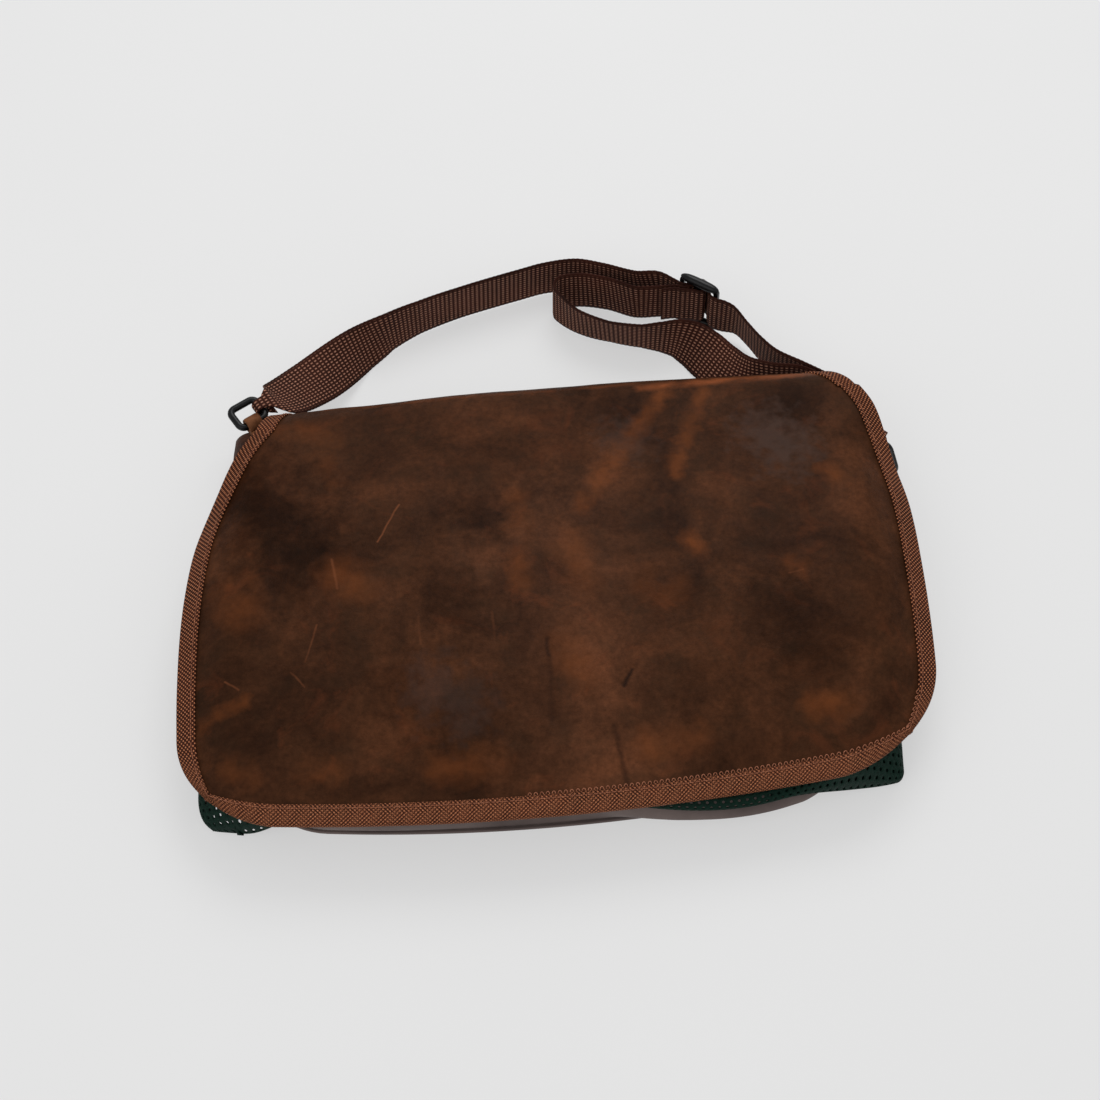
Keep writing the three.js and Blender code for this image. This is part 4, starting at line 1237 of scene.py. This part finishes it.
def build_back_panel():
    straight_end = POUCH_BOTTOM + POUCH_CORNER
    radius = POUCH_CORNER + SEAM_MARGIN
    edges = []
    for sign in (1, -1):
        reach = float(pouch_reach(np.array(sign), np.array(straight_end)))
        corner_x = reach - POUCH_CORNER
        side_y = np.linspace(BACK_TOP, straight_end, BACK_POINTS["side"])
        side_x = pouch_reach(np.full_like(side_y, sign), side_y) + SEAM_MARGIN
        angle = np.linspace(0, math.pi / 2, BACK_POINTS["corner"])[1:]
        bottom_x = np.linspace(corner_x, 0, BACK_POINTS["bottom"])[1:]
        bottom_y = np.full_like(bottom_x, POUCH_BOTTOM - SEAM_MARGIN)
        x = np.concatenate([side_x, corner_x + radius * np.cos(angle), bottom_x])
        y = np.concatenate([side_y, straight_end - radius * np.sin(angle), bottom_y])
        edges.append(np.stack([sign * x, y + bowed(x, y, reach, POUCH_BOTTOM, POUCH_BOW)], -1))
    outline = np.concatenate([edges[0], edges[1][-2::-1]])
    outline[:, 0] += SKEW * (outline[:, 1] - SKEW_Y)
    points, faces = plate_shape([outline], HIDE, BACK_BEVEL, np.eye(3), (0, 0, HIDE / 2))
    piece = make_piece("back_leather", points, faces, POUCH_LEATHER)
    place_piece(piece, "leather", "back_panel")


def sample_grid(grid, row, column):
    """Points of a grid at fractional rows and columns."""
    i = np.clip(np.floor(row).astype(int), 0, grid.shape[0] - 2)
    j = np.clip(np.floor(column).astype(int), 0, grid.shape[1] - 2)
    t = (row - i)[:, None]
    s = (column - j)[:, None]
    return mix(mix(grid[i, j], grid[i, j + 1], s), mix(grid[i + 1, j], grid[i + 1, j + 1], s), t)


def net_cells(u, v, shift, from_u):
    """Flat places of six-sided meshes from from_u to the right end, and the corners of each and its hole."""
    side = NET_MESH / math.sqrt(3)
    turn = np.radians(np.arange(6) * 60 + 30)
    corner = np.stack([np.cos(turn), np.sin(turn)], -1) * side
    outer = {}
    places = []
    rings = []
    row_count = int(v[-1] / (1.5 * side)) + 1
    column_count = int(u[-1] / NET_MESH) + 1
    limit = np.array([u[-1], v[-1]])
    for row in range(row_count):
        for column in range(column_count):
            centre = np.array([(column + 0.5 * (row % 2) + shift) * NET_MESH, (row * 1.5 + 0.5) * side])
            if np.any(centre > limit) or centre[0] < from_u:
                continue
            ring = []
            for step in corner:
                place = np.clip(centre + step, 0, limit)
                key = (round(place[0], 2), round(place[1], 2))
                if key not in outer:
                    outer[key] = len(places)
                    places.append(place)
                ring.append(outer[key])
            hole = len(places)
            places.extend(np.clip(centre + corner * NET_HOLE, NET_EDGE, limit - NET_EDGE))
            rings.append((ring, list(range(hole, hole + 6))))
    return np.array(places), rings


def net_layer(grid, u, v, shift, depth, from_u):
    """Points and faces of one layer of the net, laid on the pocket at a depth."""
    places, rings = net_cells(u, v, shift, from_u)
    row = np.interp(places[:, 1], v, np.arange(len(v)))
    column = np.interp(places[:, 0], u, np.arange(len(u)))
    out = unit(sample_grid(grid_normals(grid), row, column))
    front = sample_grid(grid, row, column) - out * depth
    behind = front - out * NET
    count = len(places)
    faces = []
    edges = set()
    for ring, hole in rings:
        for k in range(6):
            a, b = ring[k], ring[(k + 1) % 6]
            c, d = hole[(k + 1) % 6], hole[k]
            if a != b:
                faces.append([a, b, c, d])
                faces.append([count + a, count + d, count + c, count + b])
                edges.add((a, b))
            faces.append([d, c, count + c, count + d])
    for a, b in sorted(edges):
        if (b, a) not in edges:
            faces.append([a, count + a, count + b, b])
    return np.concatenate([front, behind]), faces


def build_net():
    """Net pocket, doubled by its turned hem at the right corner."""
    grid = net_grid()
    across = np.linalg.norm(np.diff(grid, axis=1), axis=-1).mean(axis=0)
    down = np.linalg.norm(np.diff(grid, axis=0), axis=-1).mean(axis=1)
    u = np.concatenate([[0], np.cumsum(across)])
    v = np.concatenate([[0], np.cumsum(down)])
    points, faces = net_layer(grid, u, v, shift=0.25, depth=0, from_u=0)
    piece = make_piece("net", skewed(points), faces, NET_YARN)
    place_piece(piece, "net", "game_net")
    hem_from = u[-1] - NET_DOUBLE
    hem_points, hem_faces = net_layer(grid, u, v, shift=0.75, depth=NET + HEM_GAP, from_u=hem_from)
    place_piece(make_piece("net_hem", skewed(hem_points), hem_faces, NET_YARN), "net")


# Rings, tabs, slider and strap

def ring_axes(ring):
    reach = unit(ring["reach"])
    bar = np.array(ring["bar"], float)
    bar = unit(bar - reach * (bar @ reach))
    return reach, bar, np.cross(reach, bar)


def build_ring(side):
    ring = RINGS[side]
    reach, bar, _ = ring_axes(ring)
    path = []
    inner = RING_HALF - RING_CORNER
    far = ring["length"] - RING_CORNER
    corners = ((RING_CORNER, inner, 180), (far, inner, 90), (far, -inner, 0), (RING_CORNER, -inner, -90))
    for centre_x, centre_y, start in corners:
        for degrees in np.linspace(start, start - 90, 13):
            angle = math.radians(degrees)
            path.append((centre_x + RING_CORNER * math.cos(angle), centre_y + RING_CORNER * math.sin(angle)))
    plan = np.array(path)
    line = np.array(ring["at"]) + plan[:, :1] * reach + plan[:, 1:] * bar
    points, faces = tube(line, WIRE / 2, 20, is_loop=True)
    piece = make_piece(f"ring_wire_{side}", points, faces, ENAMEL)
    place_piece(piece, "black_metal", f"ring_{side}")


def ribbon(centres, sides, widths, thickness, across, relief=None, bevel=0.5):
    """Points, faces and weave places of a strip with rounded edges along a line of centres."""
    run = unit(np.gradient(centres, axis=0))
    sides = sides - run * np.sum(sides * run, -1, keepdims=True)
    sides = unit(sides)
    face = np.cross(run, sides)
    share = np.linspace(-1, 1, across)
    half_width = np.asarray(widths)[:, None] / 2
    edge = 1 - bevel * ease(np.abs(share), 0.88, 1)
    if relief is None:
        relief = np.zeros((len(centres), across))
    lift = (thickness / 2 + relief) * edge[None, :]
    places = share[None, :] * half_width
    lower = centres[:, None] + sides[:, None] * places[..., None] - face[:, None] * lift[..., None]
    upper = centres[:, None] + sides[:, None] * places[..., None] + face[:, None] * lift[..., None]
    sections = np.concatenate([lower, upper[:, ::-1]], axis=1)
    s = length_along(centres)
    v = np.concatenate([places, places[:, ::-1]], axis=1)
    uv = np.stack([np.broadcast_to(s[:, None], v.shape), v], -1)
    return sections.reshape(-1, 3), loft_faces(*sections.shape[:2]), uv.reshape(-1, 2)


def build_tab(side):
    """Leather strip folded round the ring's bar, both layers sewn flat beside it."""
    ring = RINGS[side]
    _, bar, _ = ring_axes(ring)
    tail = np.array(ring["tail"], float)
    tail = unit(tail - bar * (tail @ bar))
    off = -np.cross(bar, tail)
    turn_radius = WIRE / 2 + CLEAR + TAB_CLEAR + HIDE / 2
    upper = 2 * HIDE - turn_radius - HIDE
    stop = math.degrees(math.asin(upper / turn_radius))
    angle = np.radians(np.linspace(-90, -360 + stop, TAB_POINTS["turn"]))
    arc = turn_radius * np.stack([np.cos(angle), np.sin(angle)], -1)
    count = TAB_POINTS["run"]
    lower_run = np.stack([np.linspace(TAB_TAIL, 0.5, count), np.full(count, -turn_radius)], -1)
    upper_run = np.stack([np.linspace(arc[-1, 0] + 0.5, TAB_TAIL, count), np.full(count, arc[-1, 1])], -1)
    plan = np.concatenate([lower_run, arc, upper_run])
    start = np.array(ring["at"]) + bar * ring["tab_shift"]
    centres = start + plan[:, :1] * tail + plan[:, 1:] * off
    sides = np.broadcast_to(bar, centres.shape)
    widths = np.full(len(plan), TAB_WIDTH)
    points, faces, uv = ribbon(centres, sides, widths, HIDE - 0.05, TAB_POINTS["across"], bevel=0.35)
    piece = make_piece(f"tab_leather_{side}", points, faces, TAB_LEATHER, uv)
    place_piece(piece, "leather", f"ring_tab_{side}")


def slider_axes():
    forward = np.array([math.cos(SLIDER_HEADING), math.sin(SLIDER_HEADING), 0])
    level = np.array([-forward[1], forward[0], 0])
    side = level * math.cos(SLIDER_TILT) + np.array([0, 0, math.sin(SLIDER_TILT)])
    return forward, side, np.cross(forward, side)


def rounded_rectangle(left, right, half, radius):
    """Outline of a rectangle with rounded corners."""
    corners = ((right - radius, -half + radius, -90), (right - radius, half - radius, 0),
               (left + radius, half - radius, 90), (left + radius, -half + radius, 180))
    points = []
    for x, y, start in corners:
        for degrees in np.linspace(start, start + 90, 8):
            angle = math.radians(degrees)
            points.append((x + radius * math.cos(angle), y + radius * math.sin(angle)))
    return points


def slider_end(sign):
    """Rounded solid end of the slider, past the edge of the strap."""
    forward, side, front = slider_axes()
    half = SLIDER_WIDTH / 2 - 0.2
    share = np.sin(np.linspace(-math.pi / 2, math.pi / 2, 25))
    size = np.maximum(1 - np.abs(share) ** 3.5, 0.004) ** 0.5
    turn = np.linspace(0, 2 * math.pi, 20, endpoint=False)
    tall, deep = SLIDER_END
    middle = np.array(SLIDER_AT) + side * sign * (SLIDER_LENGTH / 2 - tall)
    ring = side * tall * np.cos(turn)[:, None] + front * deep * np.sin(turn)[:, None]
    sections = middle + forward * half * share[:, None, None] + ring[None] * size[:, None, None]
    return sections.reshape(-1, 3), loft_faces(*sections.shape[:2])


def build_slider():
    forward, side, front = slider_axes()
    half = SLIDER_WIDTH / 2
    near = SLIDER_BAR / 2
    far = half - SLIDER_BAR
    slot = WEB_WIDTH / 2 + SLOT_CLEAR
    outlines = [
        rounded_rectangle(-half, half, SLIDER_LENGTH / 2 - 1.5, SLIDER_CORNER),
        rounded_rectangle(-far, -near, slot, SLOT_CORNER),
        rounded_rectangle(near, far, slot, SLOT_CORNER),
    ]
    axes = np.stack([forward, side, front])
    plate = plate_shape(outlines, SLIDER_BAR, SLIDER_BEVEL, axes, SLIDER_AT)
    points, faces = join_parts([plate, slider_end(1), slider_end(-1)])
    piece = make_piece("slider_frame", points, faces, PLASTIC)
    place_piece(piece, "black_metal", "slider")


def route_stations(table):
    rows = np.array(table, float)
    centres = rows[:, :3]
    last = len(rows) - 1
    stations = []
    for k in range(len(rows)):
        run = centres[min(k + 1, last)] - centres[max(k - 1, 0)]
        run = unit(run * (1, 1, 0))
        lean = math.radians(rows[k, 3])
        side = np.array([-run[1], run[0], 0]) * math.cos(lean) + np.array([0, 0, math.sin(lean)])
        stations.append((centres[k], side, WEB_WIDTH))
    return stations


def slider_stations(table):
    forward, side, front = slider_axes()
    return [(np.array(SLIDER_AT) + forward * place + front * rise, side, WEB_WIDTH) for place, rise in table]


def ring_stations(side_name, turn_sign):
    ring = RINGS[side_name]
    reach, bar, _ = ring_axes(ring)
    side = reach * ring["strap_side"]
    centre = np.array(ring["at"]) + bar * RING_HALF + reach * ring["length"] / 2
    up = np.cross(bar, side) * turn_sign
    return [(centre + bar * away + up * rise, side, width) for away, rise, width in RING_TURN]


def centripetal(points, k, t):
    """Points of a centripetal Catmull-Rom curve on its span k, at shares t."""
    p1 = points[k]
    p2 = points[k + 1]
    p0 = points[k - 1] if k > 0 else 2 * p1 - p2
    p3 = points[k + 2] if k + 2 < len(points) else 2 * p2 - p1
    d0 = np.linalg.norm(p1 - p0) ** 0.5
    d1 = np.linalg.norm(p2 - p1) ** 0.5
    d2 = np.linalg.norm(p3 - p2) ** 0.5
    leave = ((p1 - p0) / d0 - (p2 - p0) / (d0 + d1) + (p2 - p1) / d1) * d1
    arrive = ((p2 - p1) / d1 - (p3 - p1) / (d1 + d2) + (p3 - p2) / d2) * d1
    t = t[:, None]
    rest = p2 - p1
    return p1 + t * (leave + t * (3 * rest - 2 * leave - arrive + t * (leave + arrive - 2 * rest)))


def build_strap():
    stations = (
        ring_stations("left", 1)
        + route_stations(STRAP_OUT)
        + slider_stations(SLIDER_PASS)
        + route_stations(STRAP_TO_RING)
        + ring_stations("right", -1)
        + route_stations(STRAP_BACK)
        + slider_stations(SLIDER_SEWN)
    )
    points = np.array([station[0] for station in stations])
    centres = []
    sides = []
    widths = []
    for k in range(len(stations) - 1):
        steps = max(2, round(np.linalg.norm(points[k + 1] - points[k]) / WEB_STEP))
        t = np.linspace(0, 1, steps + 1)[:-1]
        centres.append(centripetal(points, k, t))
        sides.append(mix(stations[k][1], stations[k + 1][1], t[:, None]))
        widths.append(mix(stations[k][2], stations[k + 1][2], t))
    centres = np.concatenate(centres)
    s = length_along(centres)
    ribs = np.cos(2 * math.pi * s / WEB_RIB)
    relief = np.repeat(WEB_RELIEF * (ribs - 0.5)[:, None], WEB_LINES, axis=1)
    widths = np.concatenate(widths) + WEB_SCALLOP * ribs
    strip_points, faces, uv = ribbon(centres, np.concatenate(sides), widths, WEB, WEB_LINES, relief)
    piece = make_piece("strap_webbing", strip_points, faces, WEBBING, uv)
    place_piece(piece, "webbing", "strap")


build_flap()
band, band_normals, band_length = build_binding()
build_stitches(band, band_normals, band_length)
build_pouch()
build_back_panel()
build_net()
for hand in RINGS:
    build_ring(hand)
    build_tab(hand)
build_slider()
build_strap()


# Floor, lights and camera

def build_stage():
    material, tree, shader = new_material("pale_floor")
    tone = ramp(tree, noise(tree, 3.0, 2.0), (0.3, (0.30, 0.30, 0.30, 1)), (0.7, (0.31, 0.31, 0.31, 1)))
    tree.links.new(tone, shader.inputs["Base Color"])
    shader.inputs["Emission Color"].default_value = (1, 1, 1, 1)
    shader.inputs["Emission Strength"].default_value = FLOOR_GLOW
    shader.inputs["Roughness"].default_value = 0.9
    shader.inputs["Specular IOR Level"].default_value = 0.1
    corners = [(x * FLOOR_HALF, y * FLOOR_HALF, 0) for x, y in ((-1, -1), (1, -1), (1, 1), (-1, 1))]
    make_piece("floor", corners, [(0, 1, 2, 3)], material)


def add_light(name, place, target, size, power):
    light = bpy.data.lights.new(name, "AREA")
    light.shape = "DISK"
    light.size = size
    light.energy = power
    lamp = bpy.data.objects.new(name, light)
    lamp.location = place
    lamp.rotation_euler = (Vector(target) - Vector(place)).to_track_quat("-Z", "Y").to_euler()
    link(lamp)


def build_camera():
    away = Vector((
        math.sin(VIEW_AZIMUTH) * math.cos(VIEW_ELEVATION),
        -math.cos(VIEW_AZIMUTH) * math.cos(VIEW_ELEVATION),
        math.sin(VIEW_ELEVATION),
    ))
    data = bpy.data.cameras.new("camera")
    data.sensor_width = 36
    data.lens = VIEW_LENS
    camera = bpy.data.objects.new("camera", data)
    camera.location = VIEW_TARGET + away * VIEW_DISTANCE
    camera.rotation_euler = (-away).to_track_quat("-Z", "Y").to_euler()
    link(camera)
    bpy.context.scene.camera = camera


build_stage()
build_camera()
for light_row in LIGHTS:
    add_light(*light_row)
world = bpy.data.worlds.new("studio")
world.use_nodes = True
world.node_tree.nodes["Background"].inputs["Color"].default_value = (1, 1, 1, 1)
world.node_tree.nodes["Background"].inputs["Strength"].default_value = SKY
bpy.context.scene.world = world
bpy.context.scene.view_settings.view_transform = "Standard"
